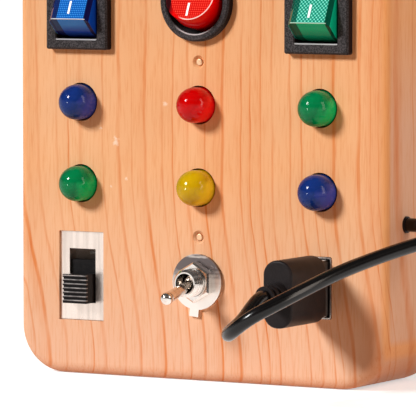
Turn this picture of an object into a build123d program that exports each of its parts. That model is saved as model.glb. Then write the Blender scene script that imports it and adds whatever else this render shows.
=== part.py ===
"""Wooden busy board: a palm-sized block of wood with six switches that light six lamps.

Millimetres. The board stands on its bottom face with its front towards -Y. The origin is the
centre of the bottom face. A "depth" is measured inwards from the front face, so what stands
proud of the face has a negative depth.
"""
import math
import os

from build123d import *

# Wooden case
WIDTH = 91.0
HEIGHT = 103.0
DEPTH = 28.0
CORNER_R = 12.0
LOWER_LEFT_R = 10.3
FRONT_EDGE_R = 2.5
BACK_EDGE_R = 3.0
FRONT_WALL = 4.0
SIDE_WALL = 8.0
POCKET_R = 5.0
BOSS_W = 9.0
BOSS_H = 8.0
PILOT_DEPTH = 12.0

# Back cover and battery door
COVER_T = 3.0
COVER_RIM = 5.0
COVER_R = 8.0
COVER_GAP = 0.2
DOOR_END_LAP = 5.5
DOOR_SIDE_LAP = 1.9
DOOR_R = 2.0
DOOR_GAP = 0.3

# Rows and columns of the front
SIDE_MARGIN = 16.0
TOP_MARGIN = 21.5
BOTTOM_ROW = 21.5

# Clearances
PANEL_GAP = 0.1
RUNNING_GAP = 0.05
SEAT_GAP = 0.05

# Screws
SCREW_R = 1.4
SCREW_HEAD_R = 2.6
SCREW_L = 11.0
DOOR_SCREW_R = 1.0
DOOR_SCREW_HEAD_R = 1.9
DOOR_SCREW_L = 8.0
SMALL_SCREW_R = 0.8
SMALL_HEAD_R = 1.6
SMALL_HEAD_T = 1.0
DRIVE_SLOT_W = 0.6
DRIVE_SLOT_DEPTH = 0.5

# Rectangular rocker switches
BEZEL_W = 15.4
BEZEL_H = 21.4
BEZEL_T = 2.0
BEZEL_R = 0.5
BEZEL_CHAMFER = 0.4
BEZEL_LIP = 0.25
BODY_W = 13.0
BODY_H = 19.0
BODY_DEPTH = 12.5
OPENING_W = 10.3
OPENING_H = 16.8
OPENING_R = 0.3
CAVITY_DEPTH = 10.5
SNAP_PROUD = 0.7
SNAP_L = 3.0
SNAP_W = 5.0

# Rockers, drawn upright about their pivot and then tilted
PIVOT_DEPTH = 2.0
ROCKER_TILT = 12.0
ROCKER_SIDE_GAP = 0.2
ROCKER_VALLEY = 5.5
ROCKER_RIDGE = 6.67
ROCKER_RIDGE_Z = 5.5
ROCKER_CORNER = 2.67
ROCKER_ARC_R = 8.2
ROCKER_UNDERSIDE = 1.6
ROCKER_BEVEL = 0.95
TRUNNION_R = 1.0
TRUNNION_L = 0.9

# Round rocker switch
ROUND_BEZEL_R = 8.5
ROUND_OPENING_R = 6.9
ROUND_BODY_R = 7.5
ROUND_TOP_X = 5.7
ROUND_TOP_Z = 5.3
ROUND_ROCKER_R = 6.35
ROUND_TRUNNION_L = 1.05

# Working parts inside every rocker switch
PLUNGER_R = 1.0
PLUNGER_REACH = 5.4
PLUNGER_L = 6.4
STEM_R = 2.0
STEM_L = 1.8
BAR_DEPTH = 8.0
BAR_T = 0.5
BAR_W = 3.0
BAR_HALF_L = 5.2
BAR_TILT = 8.0
BLADE_W = 4.8
BLADE_T = 0.8
BLADE_END = 19.5
BLADE_PITCH = 5.6
CENTRE_BLADE_TOP = 8.6
END_BLADE_TOP = 9.35

# Lamps and the board that carries them
LAMP_R = 3.85
LAMP_STRAIGHT = 1.9
LAMP_HOLE_R = 4.15
LAMP_FLANGE_R = 4.6
LAMP_FLANGE_T = 1.2
LEAD_R = 0.28
LEAD_PITCH = 2.54
LEAD_END = 11.5
LAMP_BOARD_DEPTH = 9.4
LAMP_BOARD_T = 1.6
BOARD_SIDE_GAP = 3.5
BOARD_TOP_GAP = 1.4
BOARD_BOTTOM_GAP = 1.0
LOWER_LAMP_SHARE = 0.284
UPPER_LAMP_SHARE = 0.756

# Pins through the front wall into the posts of the battery tray
PIN_INSET = 2.05
PIN_R = 0.65
PIN_HEAD_R = 0.8
PIN_HEAD_T = 0.45
PIN_RECESS_R = 1.45
PIN_RECESS_ANGLE = 90.0
PIN_L = 10.0
POST_NECK_R = 1.5
POST_R = 2.5

# Battery tray, two AAA cells
TRAY_DEPTH = 12.0
TRAY_END_WALL = 6.0
TRAY_SIDE_WALL = 2.4
TRAY_R = 2.0
TRAY_FLOOR = 1.5
TRAY_EAR_W = 5.0
TRAY_EAR_T = 4.0
CELL_R = 5.25
CELL_L = 44.5
CELL_GAP = 0.5
CELL_SIDE_GAP = 0.35
CELL_LIFT = 0.05
CELL_NUB_R = 1.9
CELL_NUB_L = 0.8
CONTACT_T = 0.4
CONTACT_H = 9.4
SPRING_R = 3.0
SPRING_L = 5.7
SPRING_WIRE_R = 0.25
SPRING_TURNS = 4

# Slide switch
WINDOW_W = 11.3
WINDOW_H = 19.4
PLATE_DEPTH = 0.6
FRAME_T = 0.6
FRAME_DEPTH = 7.2
SLOT_W = 6.6
SLOT_H = 11.8
EAR_W = 7.0
EAR_H = 3.4
SLIDE_BASE_T = 1.4
SLIDE_BLADE_W = 2.0
SLIDE_BLADE_T = 0.6
SLIDE_BLADE_TOP = 5.4
SLIDE_BLADE_END = 11.5
SLIDE_BLADE_PITCH = 4.7
KNOB_W = 5.9
KNOB_H = 6.3
KNOB_PROUD = 2.9
KNOB_END_GAP = 0.1
RIB_COUNT = 7
RIB_DEPTH = 0.35
SLIDER_W = 8.6
SLIDER_H = 12.2
SLIDER_T = 1.2
SLIDER_GAP = 0.15
SLIDE_CONTACT_W = 4.0
SLIDE_CONTACT_H = 7.0
SLIDE_CONTACT_T = 2.0

# Toggle switch
BUSHING_R = 3.0
BUSHING_PROUD = 6.0
BUSHING_CHAMFER = 0.5
BUSHING_BORE_R = 2.4
BUSHING_THROAT_R = 2.0
BUSHING_THROAT_HALF_L = 1.2
BUSHING_MOUTH_R = 2.2
BUSHING_PLATE_T = 0.6
BUSHING_PLATE_INSET = 0.3
THREAD_PITCH = 0.75
THREAD_DEPTH = 0.3
THREAD_TURNS = 3
WASHER_R = 6.0
WASHER_T = 0.8
WASHER_TAB_W = 2.2
WASHER_TAB_L = 1.5
WASHER_TURN = 6.0
NUT_ACROSS = 7.6
NUT_T = 1.8
NUT_CHAMFER = 0.35
TOGGLE_BODY_W = 8.0
TOGGLE_BODY_H = 13.0
TOGGLE_BODY_DEPTH = 13.5
TOGGLE_WALL = 1.0
TOGGLE_FLOOR = 2.0
LEVER_PIVOT = 2.2
LEVER_TILT = 13.0
LEVER_BALL_AT = 11.4
LEVER_BALL_R = 1.4
LEVER_TIP_R = 1.25
LEVER_NECK_R = 1.05
LEVER_TAIL = 7.6
LEVER_TAIL_R = 0.5
TOGGLE_BAR_DEPTH = 6.0
TOGGLE_BAR_HALF_L = 4.5
TOGGLE_BAR_W = 2.5
TOGGLE_BAR_TILT = 7.0
TOGGLE_BLADE_W = 2.0
TOGGLE_BLADE_PITCH = 4.7
TOGGLE_BLADE_END = 18.0
TOGGLE_CENTRE_TOP = 6.6
TOGGLE_END_TOP = 7.2

# USB port and the small board behind it
PORT_W = 5.72
PORT_H = 13.1
PORT_WALL = 0.3
PORT_R = 0.6
PORT_PROUD = 0.2
PORT_BACK = 13.8
PORT_BLOCK_DEPTH = 9.2
TONGUE_FRONT = 1.2
TONGUE_OFFSET = 0.3
TONGUE_T = 1.5
TONGUE_H = 10.8
USB_CONTACT_PITCH = 2.2
USB_CONTACT_W = 1.0
USB_CONTACT_T = 0.15
USB_CONTACT_INSET = 0.6
USB_BOARD_T = 1.6
USB_BOARD_W = 15.0
USB_BOARD_H = 13.3
USB_BLOCK_W = 4.5
USB_BLOCK_SHIFT = 7.25
USB_SCREW_Z = 4.0
USB_SCREW_L = 6.0

# USB plug
PLUG_W = 4.5
PLUG_H = 12.0
PLUG_WALL = 0.3
PLUG_R = 0.5
PLUG_REACH = 8.5
PLUG_INSULATOR_OFFSET = 0.2
PLUG_HOLE = 2.0
PLUG_HOLE_FROM_TIP = 5.2
PLUG_HOLE_PITCH = 5.0
GRIP_GAP = 3.5
GRIP_W = 6.8
GRIP_H = 14.2
GRIP_L = 15.0
GRIP_CORNER_R = 3.2
GRIP_EDGE_R = 0.5
BOOT_BASE_R = 2.65
BOOT_END_R = 2.15
BOOT_L = 5.5
BOOT_RINGS = 2
BOOT_GROOVE = 0.5
BOOT_GROOVE_W = 0.9

# Cord and the bush that it leaves the case through
CORD_R = 1.45
CORD_LEAD = 1.7
CORD_DEPTH = 8.7
CORD_Z = 34.9
BUSH_R = 1.75
BUSH_PROUD = 0.4
BUSH_SOCKET = 3.0
BUSH_FLANGE_R = 3.2
BUSH_FLANGE_T = 1.5

# Wires inside the case
WIRE_R = 0.6
WIRE_BEND = 1.0
WIRE_COVER_GAP = 3.0
WIRE_LAYER_GAP = 3.0
WIRE_EDGE = 1.0
WIRE_INLET_L = 3.0

# Worked out from the sizes above
FRONT_Y = -DEPTH / 2
COLUMN_PITCH = WIDTH / 2 - SIDE_MARGIN
TOP_ROW = HEIGHT - TOP_MARGIN
POCKET_W = WIDTH - 2 * SIDE_WALL
POCKET_H = HEIGHT - 2 * SIDE_WALL
BOARD_TOP = TOP_ROW - BODY_H / 2 - BOARD_TOP_GAP
BOARD_BOTTOM = BOTTOM_ROW + TOGGLE_BODY_H / 2 + BOARD_BOTTOM_GAP
LAMP_BOARD_W = POCKET_W - 2 * BOARD_SIDE_GAP
LAMP_BOARD_H = BOARD_TOP - BOARD_BOTTOM
PIN_MIDDLE_Z = (BOARD_TOP + BOARD_BOTTOM) / 2
PIN_PITCH = LAMP_BOARD_H - 2 * PIN_INSET
LOWER_LAMP_ROW = BOARD_BOTTOM + PIN_INSET + LOWER_LAMP_SHARE * PIN_PITCH
UPPER_LAMP_ROW = BOARD_BOTTOM + PIN_INSET + UPPER_LAMP_SHARE * PIN_PITCH
CELL_PITCH = 2 * CELL_R + CELL_GAP
BAY_W = CELL_L + SPRING_L + 2 * CONTACT_T
BAY_H = CELL_PITCH + 2 * CELL_R + 2 * CELL_SIDE_GAP
DOOR_W = BAY_W + 2 * DOOR_END_LAP
DOOR_H = BAY_H + 2 * DOOR_SIDE_LAP
TRAY_W = BAY_W + 2 * TRAY_END_WALL
TRAY_H = BAY_H + 2 * TRAY_SIDE_WALL
COLUMNS = (-COLUMN_PITCH, 0.0, COLUMN_PITCH)
LAMPS = {
    "upper_left_lamp": (-COLUMN_PITCH, UPPER_LAMP_ROW),
    "upper_middle_lamp": (0.0, UPPER_LAMP_ROW),
    "upper_right_lamp": (COLUMN_PITCH, UPPER_LAMP_ROW),
    "lower_left_lamp": (-COLUMN_PITCH, LOWER_LAMP_ROW),
    "lower_middle_lamp": (0.0, LOWER_LAMP_ROW),
    "lower_right_lamp": (COLUMN_PITCH, LOWER_LAMP_ROW),
}
COVER_FACE = DEPTH - COVER_T
WIRE_BACK_DEPTH = COVER_FACE - WIRE_COVER_GAP
WIRE_LOW_DEPTH = WIRE_BACK_DEPTH - WIRE_LAYER_GAP
REBATE_W = WIDTH - 2 * COVER_RIM
REBATE_H = HEIGHT - 2 * COVER_RIM
BOSS_SPAN = POCKET_H - BOSS_H
DOOR_SCREW_X = (BAY_W + DOOR_END_LAP) / 2
LAMP_BOARD_BACK = LAMP_BOARD_DEPTH + LAMP_BOARD_T
PIN_HEAD_DEPTH = (PIN_RECESS_R - PIN_HEAD_R) / math.tan(math.radians(PIN_RECESS_ANGLE / 2))
SLIDE_X = -COLUMN_PITCH
EAR_SCREW_Z = (WINDOW_H + EAR_H) / 2
EAR_BACK = FRONT_WALL + FRAME_T
KNOB_Z = BOTTOM_ROW - SLOT_H / 2 + KNOB_END_GAP + KNOB_H / 2
PLATE_DEPTH_BACK = PLATE_DEPTH + FRAME_T
SLIDER_DEPTH = PLATE_DEPTH_BACK + SLIDER_GAP + SLIDER_T
PLATE_BACK = FRONT_WALL + BUSHING_PLATE_T
USB_X = COLUMN_PITCH
USB_BLOCK_X = USB_X - USB_BLOCK_SHIFT
USB_BOARD_X = USB_BLOCK_X + (USB_BOARD_W - USB_BLOCK_W) / 2
USB_BOARD_BACK = PORT_BACK + USB_BOARD_T
GRIP_END = GRIP_GAP + GRIP_L
BOOT_END = GRIP_END + BOOT_L
BUSH_TIP_X = WIDTH / 2 + BUSH_PROUD

# Route of the cord as x, depth and height, from the plug's boot round to the case
CORD_ROUTE = [
    (USB_X, -BOOT_END, BOTTOM_ROW),
    (USB_X, -BOOT_END - CORD_LEAD, BOTTOM_ROW),
    (29.5, -29.0, 19.9),
    (29.8, -33.8, 17.2),
    (30.5, -40.0, 15.7),
    (33.6, -46.6, 15.5),
    (39.4, -48.5, 19.4),
    (44.2, -44.9, 22.5),
    (47.9, -38.6, 25.4),
    (51.0, -31.0, 28.1),
    (53.9, -22.5, 30.2),
    (56.9, -14.2, 32.0),
    (59.6, -6.6, 33.3),
    (59.4, 0.4, 34.0),
    (55.7, 6.0, 34.6),
    (49.7, CORD_DEPTH, CORD_Z),
    (BUSH_TIP_X - BUSH_SOCKET, CORD_DEPTH, CORD_Z),
]


def front_plane(depth, x=0.0, z=0.0):
    """Plane at a depth behind the front face; its normal points out of the front."""
    return Plane(origin=(x, FRONT_Y + depth, z), x_dir=(1, 0, 0), z_dir=(0, -1, 0))


def back_plane(depth, x=0.0, z=0.0):
    """Plane at a depth behind the front face; its normal points out of the back."""
    return Plane(origin=(x, FRONT_Y + depth, z), x_dir=(-1, 0, 0), z_dir=(0, 1, 0))


def side_plane(x, depth, z, tilt=0.0):
    """Upright plane through one column: local x points out of the front, local y points up.

    A positive tilt turns local x upwards.
    """
    angle = math.radians(tilt)
    outward = (0, -math.cos(angle), math.sin(angle))
    return Plane(origin=(x, FRONT_Y + depth, z), x_dir=outward, z_dir=(-1, 0, 0))


def cord_plane(x):
    """Plane across the cord's way into the case; its normal points to the right."""
    return Plane(origin=(x, FRONT_Y + CORD_DEPTH, CORD_Z), x_dir=(0, 1, 0), z_dir=(1, 0, 0))


def axis_of(plane):
    """Axis along a side plane's local x, for turned pieces."""
    return Axis(plane.origin, plane.x_dir)


def place(x, depth, z):
    """Point in the part's frame from a column, a depth and a height."""
    return (x, FRONT_Y + depth, z)


def save(builder, name):
    """Label a finished piece and write it to its own file."""
    builder.part.label = name
    export_step(builder.part, f"parts/{name}.step")


# Case, cover and door


def make_wood_case():
    """Block of wood, hollowed from the back, with a boss for each cover screw."""
    with BuildPart() as wood_case:
        with BuildSketch(front_plane(DEPTH, z=HEIGHT / 2)) as outline:
            Rectangle(WIDTH, HEIGHT)
            lower_left = (-WIDTH / 2, -HEIGHT / 2, 0)
            fillet(outline.vertices().sort_by_distance(lower_left)[0], LOWER_LEFT_R)
            fillet(outline.vertices().sort_by_distance(lower_left)[2:], CORNER_R)
        extrude(amount=DEPTH)
        fillet(wood_case.faces().sort_by(Axis.Y)[0].edges(), FRONT_EDGE_R)
        fillet(wood_case.faces().sort_by(Axis.Y)[-1].edges(), BACK_EDGE_R)
        with BuildSketch(front_plane(DEPTH, z=HEIGHT / 2)):
            RectangleRounded(REBATE_W, REBATE_H, COVER_R)
        extrude(amount=COVER_T, mode=Mode.SUBTRACT)
        with BuildSketch(front_plane(COVER_FACE, z=HEIGHT / 2)):
            RectangleRounded(POCKET_W, POCKET_H, POCKET_R)
            with GridLocations(COLUMN_PITCH, BOSS_SPAN, 2, 2):
                Rectangle(BOSS_W, BOSS_H, mode=Mode.SUBTRACT)
        extrude(amount=COVER_FACE - FRONT_WALL, mode=Mode.SUBTRACT)
        with BuildSketch(front_plane(PORT_BACK, USB_BLOCK_X, BOTTOM_ROW)):
            Rectangle(USB_BLOCK_W, USB_BOARD_H)
        extrude(amount=PORT_BACK - FRONT_WALL)
        with BuildSketch(front_plane(FRONT_WALL)):
            with Locations((-COLUMN_PITCH, TOP_ROW), (COLUMN_PITCH, TOP_ROW)):
                Rectangle(BODY_W + 2 * PANEL_GAP, BODY_H + 2 * PANEL_GAP)
            with Locations((0, TOP_ROW)):
                Circle(ROUND_BODY_R + PANEL_GAP)
            with Locations(*LAMPS.values()):
                Circle(LAMP_HOLE_R)
            with Locations((SLIDE_X, BOTTOM_ROW)):
                Rectangle(WINDOW_W, WINDOW_H)
            with Locations((0, BOTTOM_ROW)):
                Circle(BUSHING_R + PANEL_GAP)
            with Locations((USB_X, BOTTOM_ROW)):
                RectangleRounded(PORT_W + 2 * PANEL_GAP, PORT_H + 2 * PANEL_GAP, PORT_R)
            with Locations((0, PIN_MIDDLE_Z - PIN_PITCH / 2), (0, PIN_MIDDLE_Z + PIN_PITCH / 2)):
                Circle(PIN_R + SEAT_GAP)
        extrude(amount=FRONT_WALL, mode=Mode.SUBTRACT)
        with Locations(front_plane(0, z=PIN_MIDDLE_Z)):
            with GridLocations(0, PIN_PITCH, 1, 2):
                CounterSinkHole(
                    PIN_R + SEAT_GAP,
                    PIN_RECESS_R,
                    FRONT_WALL,
                    counter_sink_angle=PIN_RECESS_ANGLE,
                )
        with Locations(back_plane(COVER_FACE, z=HEIGHT / 2)):
            with GridLocations(COLUMN_PITCH, BOSS_SPAN, 2, 2):
                Hole(SCREW_R + SEAT_GAP, PILOT_DEPTH)
        with Locations(back_plane(PORT_BACK, USB_BLOCK_X, BOTTOM_ROW)):
            with GridLocations(0, 2 * USB_SCREW_Z, 1, 2):
                Hole(SMALL_SCREW_R + SEAT_GAP, USB_SCREW_L)
        with Locations(back_plane(FRONT_WALL, SLIDE_X, BOTTOM_ROW)):
            with GridLocations(0, 2 * EAR_SCREW_Z, 1, 2):
                Hole(SMALL_SCREW_R + SEAT_GAP, FRONT_WALL - PLATE_DEPTH)
        with BuildSketch(cord_plane(WIDTH / 2)):
            Circle(BUSH_R + SEAT_GAP)
        extrude(amount=-SIDE_WALL, mode=Mode.SUBTRACT)
    return wood_case


def make_back_cover():
    """Thin panel in the rebate of the case, with the opening for the battery door."""
    with BuildPart() as back_cover:
        with BuildSketch(front_plane(DEPTH, z=HEIGHT / 2)):
            RectangleRounded(REBATE_W - 2 * COVER_GAP, REBATE_H - 2 * COVER_GAP, COVER_R - COVER_GAP)
        extrude(amount=COVER_T)
        with BuildSketch(front_plane(DEPTH, z=PIN_MIDDLE_Z)):
            RectangleRounded(DOOR_W + 2 * DOOR_GAP, DOOR_H + 2 * DOOR_GAP, DOOR_R + DOOR_GAP)
        extrude(amount=COVER_T, mode=Mode.SUBTRACT)
        with Locations(back_plane(DEPTH, z=HEIGHT / 2)):
            with GridLocations(COLUMN_PITCH, BOSS_SPAN, 2, 2):
                CounterSinkHole(SCREW_R + PANEL_GAP, SCREW_HEAD_R + PANEL_GAP, counter_sink_angle=90)
    return back_cover


def add_flat_head_screw(radius, head_radius, length):
    """Countersunk screw pointing into the plane that it is placed on, with a cross in its head."""
    top = (Align.CENTER, Align.CENTER, Align.MAX)
    Cone(radius, head_radius, head_radius - radius, align=top)
    Cylinder(radius, length, align=top)
    for slot_turn in (0, 90):
        Box(
            2 * radius,
            DRIVE_SLOT_W,
            DRIVE_SLOT_DEPTH,
            rotation=(0, 0, slot_turn),
            align=top,
            mode=Mode.SUBTRACT,
        )


def make_cover_screws():
    with BuildPart() as cover_screws:
        with Locations(back_plane(DEPTH, z=HEIGHT / 2)):
            with GridLocations(COLUMN_PITCH, BOSS_SPAN, 2, 2):
                add_flat_head_screw(SCREW_R, SCREW_HEAD_R, SCREW_L)
    return cover_screws


def make_battery_door():
    """Door that lies on the rim of the battery tray, level with the cover."""
    with BuildPart() as battery_door:
        with BuildSketch(front_plane(DEPTH, z=PIN_MIDDLE_Z)):
            RectangleRounded(DOOR_W, DOOR_H, DOOR_R)
        extrude(amount=COVER_T)
        with Locations(back_plane(DEPTH, z=PIN_MIDDLE_Z)):
            with GridLocations(2 * DOOR_SCREW_X, 0, 2, 1):
                CounterSinkHole(
                    DOOR_SCREW_R + PANEL_GAP,
                    DOOR_SCREW_HEAD_R + PANEL_GAP,
                    counter_sink_angle=90,
                )
    return battery_door


def make_door_screws():
    with BuildPart() as door_screws:
        with Locations(back_plane(DEPTH, z=PIN_MIDDLE_Z)):
            with GridLocations(2 * DOOR_SCREW_X, 0, 2, 1):
                add_flat_head_screw(DOOR_SCREW_R, DOOR_SCREW_HEAD_R, DOOR_SCREW_L)
    return door_screws


# Battery tray, cells and the pins that hold the tray


def make_battery_tray():
    """Open box for two cells, with a web to a stepped post above and below for the front pins."""
    with BuildPart() as battery_tray:
        with BuildSketch(front_plane(COVER_FACE, z=PIN_MIDDLE_Z)):
            RectangleRounded(TRAY_W, TRAY_H, TRAY_R)
        extrude(amount=COVER_FACE - TRAY_DEPTH)
        with BuildSketch(front_plane(TRAY_DEPTH + TRAY_EAR_T, z=PIN_MIDDLE_Z)):
            Rectangle(TRAY_EAR_W, PIN_PITCH)
        extrude(amount=TRAY_EAR_T)
        with BuildSketch(front_plane(TRAY_DEPTH + TRAY_EAR_T, z=PIN_MIDDLE_Z)):
            with GridLocations(0, PIN_PITCH, 1, 2):
                Circle(POST_R)
        extrude(amount=TRAY_DEPTH + TRAY_EAR_T - LAMP_BOARD_BACK)
        with BuildSketch(front_plane(LAMP_BOARD_BACK, z=PIN_MIDDLE_Z)):
            with GridLocations(0, PIN_PITCH, 1, 2):
                Circle(POST_NECK_R)
        extrude(amount=LAMP_BOARD_BACK - FRONT_WALL)
        with BuildSketch(front_plane(COVER_FACE, z=PIN_MIDDLE_Z)):
            Rectangle(BAY_W, BAY_H)
        extrude(amount=COVER_FACE - TRAY_DEPTH - TRAY_FLOOR, mode=Mode.SUBTRACT)
        with Locations(front_plane(FRONT_WALL, z=PIN_MIDDLE_Z)):
            with GridLocations(0, PIN_PITCH, 1, 2):
                Hole(PIN_R + SEAT_GAP, PIN_L)
        with Locations(back_plane(COVER_FACE, z=PIN_MIDDLE_Z)):
            with GridLocations(2 * DOOR_SCREW_X, 0, 2, 1):
                Hole(DOOR_SCREW_R + RUNNING_GAP, DOOR_SCREW_L)
    return battery_tray


def make_front_pins():
    with BuildPart() as front_pins:
        with Locations(front_plane(PIN_HEAD_DEPTH, z=PIN_MIDDLE_Z)):
            with GridLocations(0, PIN_PITCH, 1, 2):
                Cylinder(PIN_HEAD_R, PIN_HEAD_T, align=(Align.CENTER, Align.CENTER, Align.MIN))
                Cylinder(PIN_R, PIN_L, align=(Align.CENTER, Align.CENTER, Align.MAX))
        rims = front_pins.edges().filter_by(GeomType.CIRCLE).group_by(Axis.Y)[0]
        fillet(rims, PIN_HEAD_T * 0.6)
    return front_pins


def cell_plane(side, row):
    """Plane on the inner end wall of the battery bay: side is -1 or 1, row is -1 or 1."""
    depth = TRAY_DEPTH + TRAY_FLOOR + CELL_LIFT + CELL_R
    origin = place(side * BAY_W / 2, depth, PIN_MIDDLE_Z + row * CELL_PITCH / 2)
    return Plane(origin=origin, x_dir=(0, 1, 0), z_dir=(-side, 0, 0))


def make_batteries():
    """Two cells, head to tail: the upper one has its nub to the right."""
    with BuildPart() as batteries:
        for row in (1, -1):
            with BuildSketch(cell_plane(row, row).offset(CONTACT_T)):
                Circle(CELL_NUB_R)
            extrude(amount=CELL_NUB_L)
            with BuildSketch(cell_plane(row, row).offset(CONTACT_T + CELL_NUB_L)):
                Circle(CELL_R)
            extrude(amount=CELL_L - CELL_NUB_L)
    return batteries


def make_battery_springs():
    """A coil spring at the flat end of each cell."""
    length = SPRING_L - 2 * SPRING_WIRE_R
    with BuildPart() as battery_springs:
        for row in (1, -1):
            seat = cell_plane(-row, row).offset(CONTACT_T + SPRING_WIRE_R)
            coil = seat * Helix(length / SPRING_TURNS, length, SPRING_R)
            with BuildSketch(Plane(origin=coil @ 0, z_dir=coil % 0)):
                Circle(SPRING_WIRE_R)
            sweep(path=Wire(coil) if isinstance(coil, Edge) else coil, is_frenet=True)
    return battery_springs


def make_battery_contacts():
    """One long plate joins the cells on the left; two short ones lie on the right."""
    with BuildPart() as battery_contacts:
        middle = (cell_plane(-1, 1).origin + cell_plane(-1, -1).origin) / 2
        with BuildSketch(Plane(origin=middle, x_dir=(0, 1, 0), z_dir=(1, 0, 0))):
            Rectangle(CONTACT_H, CONTACT_H + CELL_PITCH)
        extrude(amount=CONTACT_T)
        for row in (1, -1):
            with BuildSketch(cell_plane(1, row)):
                Rectangle(CONTACT_H, CONTACT_H)
            extrude(amount=CONTACT_T)
    return battery_contacts


# Lamps


def make_lamp(x, z):
    """Round-nosed lamp that passes through the front wall from behind."""
    plane = side_plane(x, 0, z)
    back = -(FRONT_WALL + LAMP_FLANGE_T)
    with BuildPart() as lamp:
        with BuildSketch(plane):
            with BuildLine():
                Polyline(
                    (LAMP_STRAIGHT + LAMP_R, 0),
                    (back, 0),
                    (back, LAMP_FLANGE_R),
                    (-FRONT_WALL, LAMP_FLANGE_R),
                    (-FRONT_WALL, LAMP_R),
                    (LAMP_STRAIGHT, LAMP_R),
                )
                CenterArc((LAMP_STRAIGHT, 0), LAMP_R, 0, 90)
            make_face()
        revolve(axis=axis_of(plane))
    return lamp


def make_lamp_leads():
    with BuildPart() as lamp_leads:
        with BuildSketch(front_plane(LEAD_END)):
            with Locations(*LAMPS.values()):
                with GridLocations(LEAD_PITCH, 0, 2, 1):
                    Circle(LEAD_R)
        extrude(amount=LEAD_END - FRONT_WALL - LAMP_FLANGE_T)
    return lamp_leads


def make_lamp_board():
    """Board that the lamps' leads pass through; it rests on the shoulders of the tray's posts."""
    with BuildPart() as lamp_board:
        with BuildSketch(front_plane(LAMP_BOARD_BACK, z=PIN_MIDDLE_Z)):
            Rectangle(LAMP_BOARD_W, LAMP_BOARD_H)
            with GridLocations(0, PIN_PITCH, 1, 2):
                Circle(POST_NECK_R + SEAT_GAP, mode=Mode.SUBTRACT)
        extrude(amount=LAMP_BOARD_T)
        with BuildSketch(front_plane(LAMP_BOARD_BACK)):
            with Locations(*LAMPS.values()):
                with GridLocations(LEAD_PITCH, 0, 2, 1):
                    Circle(LEAD_R + SEAT_GAP)
        extrude(amount=LAMP_BOARD_T, mode=Mode.SUBTRACT)
    return lamp_board


# Rocker switches


def cut_blade_slots(x, row, width, pitch, thickness, floor_end, floor_top):
    """Three slots for terminal blades in the floor of a switch body."""
    with BuildSketch(front_plane(floor_end, x, row)) as slots:
        with GridLocations(0, pitch, 1, 3):
            Rectangle(width + 2 * SEAT_GAP, thickness + 2 * SEAT_GAP)
    extrude(slots.sketch, amount=floor_end - floor_top, mode=Mode.SUBTRACT)


def make_blades(x, row, width, pitch, thickness, end, tops):
    """Three terminal blades in a column; tops are the depths of the outer and middle ones."""
    outer_top, middle_top = tops
    with BuildPart() as blades:
        with BuildSketch(front_plane(end, x, row)):
            with GridLocations(0, 2 * pitch, 1, 2):
                Rectangle(width, thickness)
        extrude(amount=end - outer_top)
        with BuildSketch(front_plane(end, x, row)):
            Rectangle(width, thickness)
        extrude(amount=end - middle_top)
    return blades


def make_rocker_housing(x):
    """Black frame and body of a rectangular rocker switch, with its snap hooks."""
    with BuildPart() as housing:
        with BuildSketch(front_plane(0, x, TOP_ROW)):
            RectangleRounded(BEZEL_W, BEZEL_H, BEZEL_R)
        extrude(amount=BEZEL_T)
        chamfer(housing.faces().sort_by(Axis.Y)[0].edges(), BEZEL_CHAMFER)
        with BuildSketch(front_plane(BODY_DEPTH, x, TOP_ROW)):
            Rectangle(BODY_W, BODY_H)
        extrude(amount=BODY_DEPTH)
        with BuildSketch(side_plane(x, FRONT_WALL, TOP_ROW)):
            for side in (1, -1):
                with BuildLine():
                    Polyline(
                        (0, side * BODY_H / 2),
                        (0, side * (BODY_H / 2 + SNAP_PROUD)),
                        (-SNAP_L, side * BODY_H / 2),
                        close=True,
                    )
                make_face()
        extrude(amount=SNAP_W / 2, both=True)
        with BuildSketch(front_plane(CAVITY_DEPTH, x, TOP_ROW)):
            RectangleRounded(OPENING_W, OPENING_H, OPENING_R)
        extrude(amount=CAVITY_DEPTH + BEZEL_T, mode=Mode.SUBTRACT)
        chamfer(housing.faces().sort_by(Axis.Y)[0].inner_wires().edges(), BEZEL_LIP)
        with BuildSketch(side_plane(x, PIVOT_DEPTH, TOP_ROW)):
            Circle(TRUNNION_R + RUNNING_GAP)
        extrude(
            amount=OPENING_W / 2 + TRUNNION_L,
            both=True,
            mode=Mode.SUBTRACT,
        )
        cut_blade_slots(x, TOP_ROW, BLADE_W, BLADE_PITCH, BLADE_T, BODY_DEPTH, CAVITY_DEPTH)
    return housing


def make_round_housing():
    """Black ring and body of the round rocker switch."""
    with BuildPart() as housing:
        with BuildSketch(front_plane(0, z=TOP_ROW)):
            Circle(ROUND_BEZEL_R)
        extrude(amount=BEZEL_T)
        chamfer(housing.faces().sort_by(Axis.Y)[0].edges(), BEZEL_CHAMFER)
        with BuildSketch(front_plane(BODY_DEPTH, z=TOP_ROW)):
            Circle(ROUND_BODY_R)
        extrude(amount=BODY_DEPTH)
        with BuildSketch(front_plane(CAVITY_DEPTH, z=TOP_ROW)):
            Circle(ROUND_OPENING_R)
        extrude(amount=CAVITY_DEPTH + BEZEL_T, mode=Mode.SUBTRACT)
        chamfer(housing.faces().sort_by(Axis.Y)[0].inner_wires().edges(), BEZEL_LIP)
        with BuildSketch(side_plane(0, PIVOT_DEPTH, TOP_ROW)):
            Circle(TRUNNION_R + RUNNING_GAP)
        extrude(amount=ROUND_BODY_R, both=True, mode=Mode.SUBTRACT)
        cut_blade_slots(0, TOP_ROW, BLADE_W, BLADE_PITCH, BLADE_T, BODY_DEPTH, CAVITY_DEPTH)
    return housing


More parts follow.
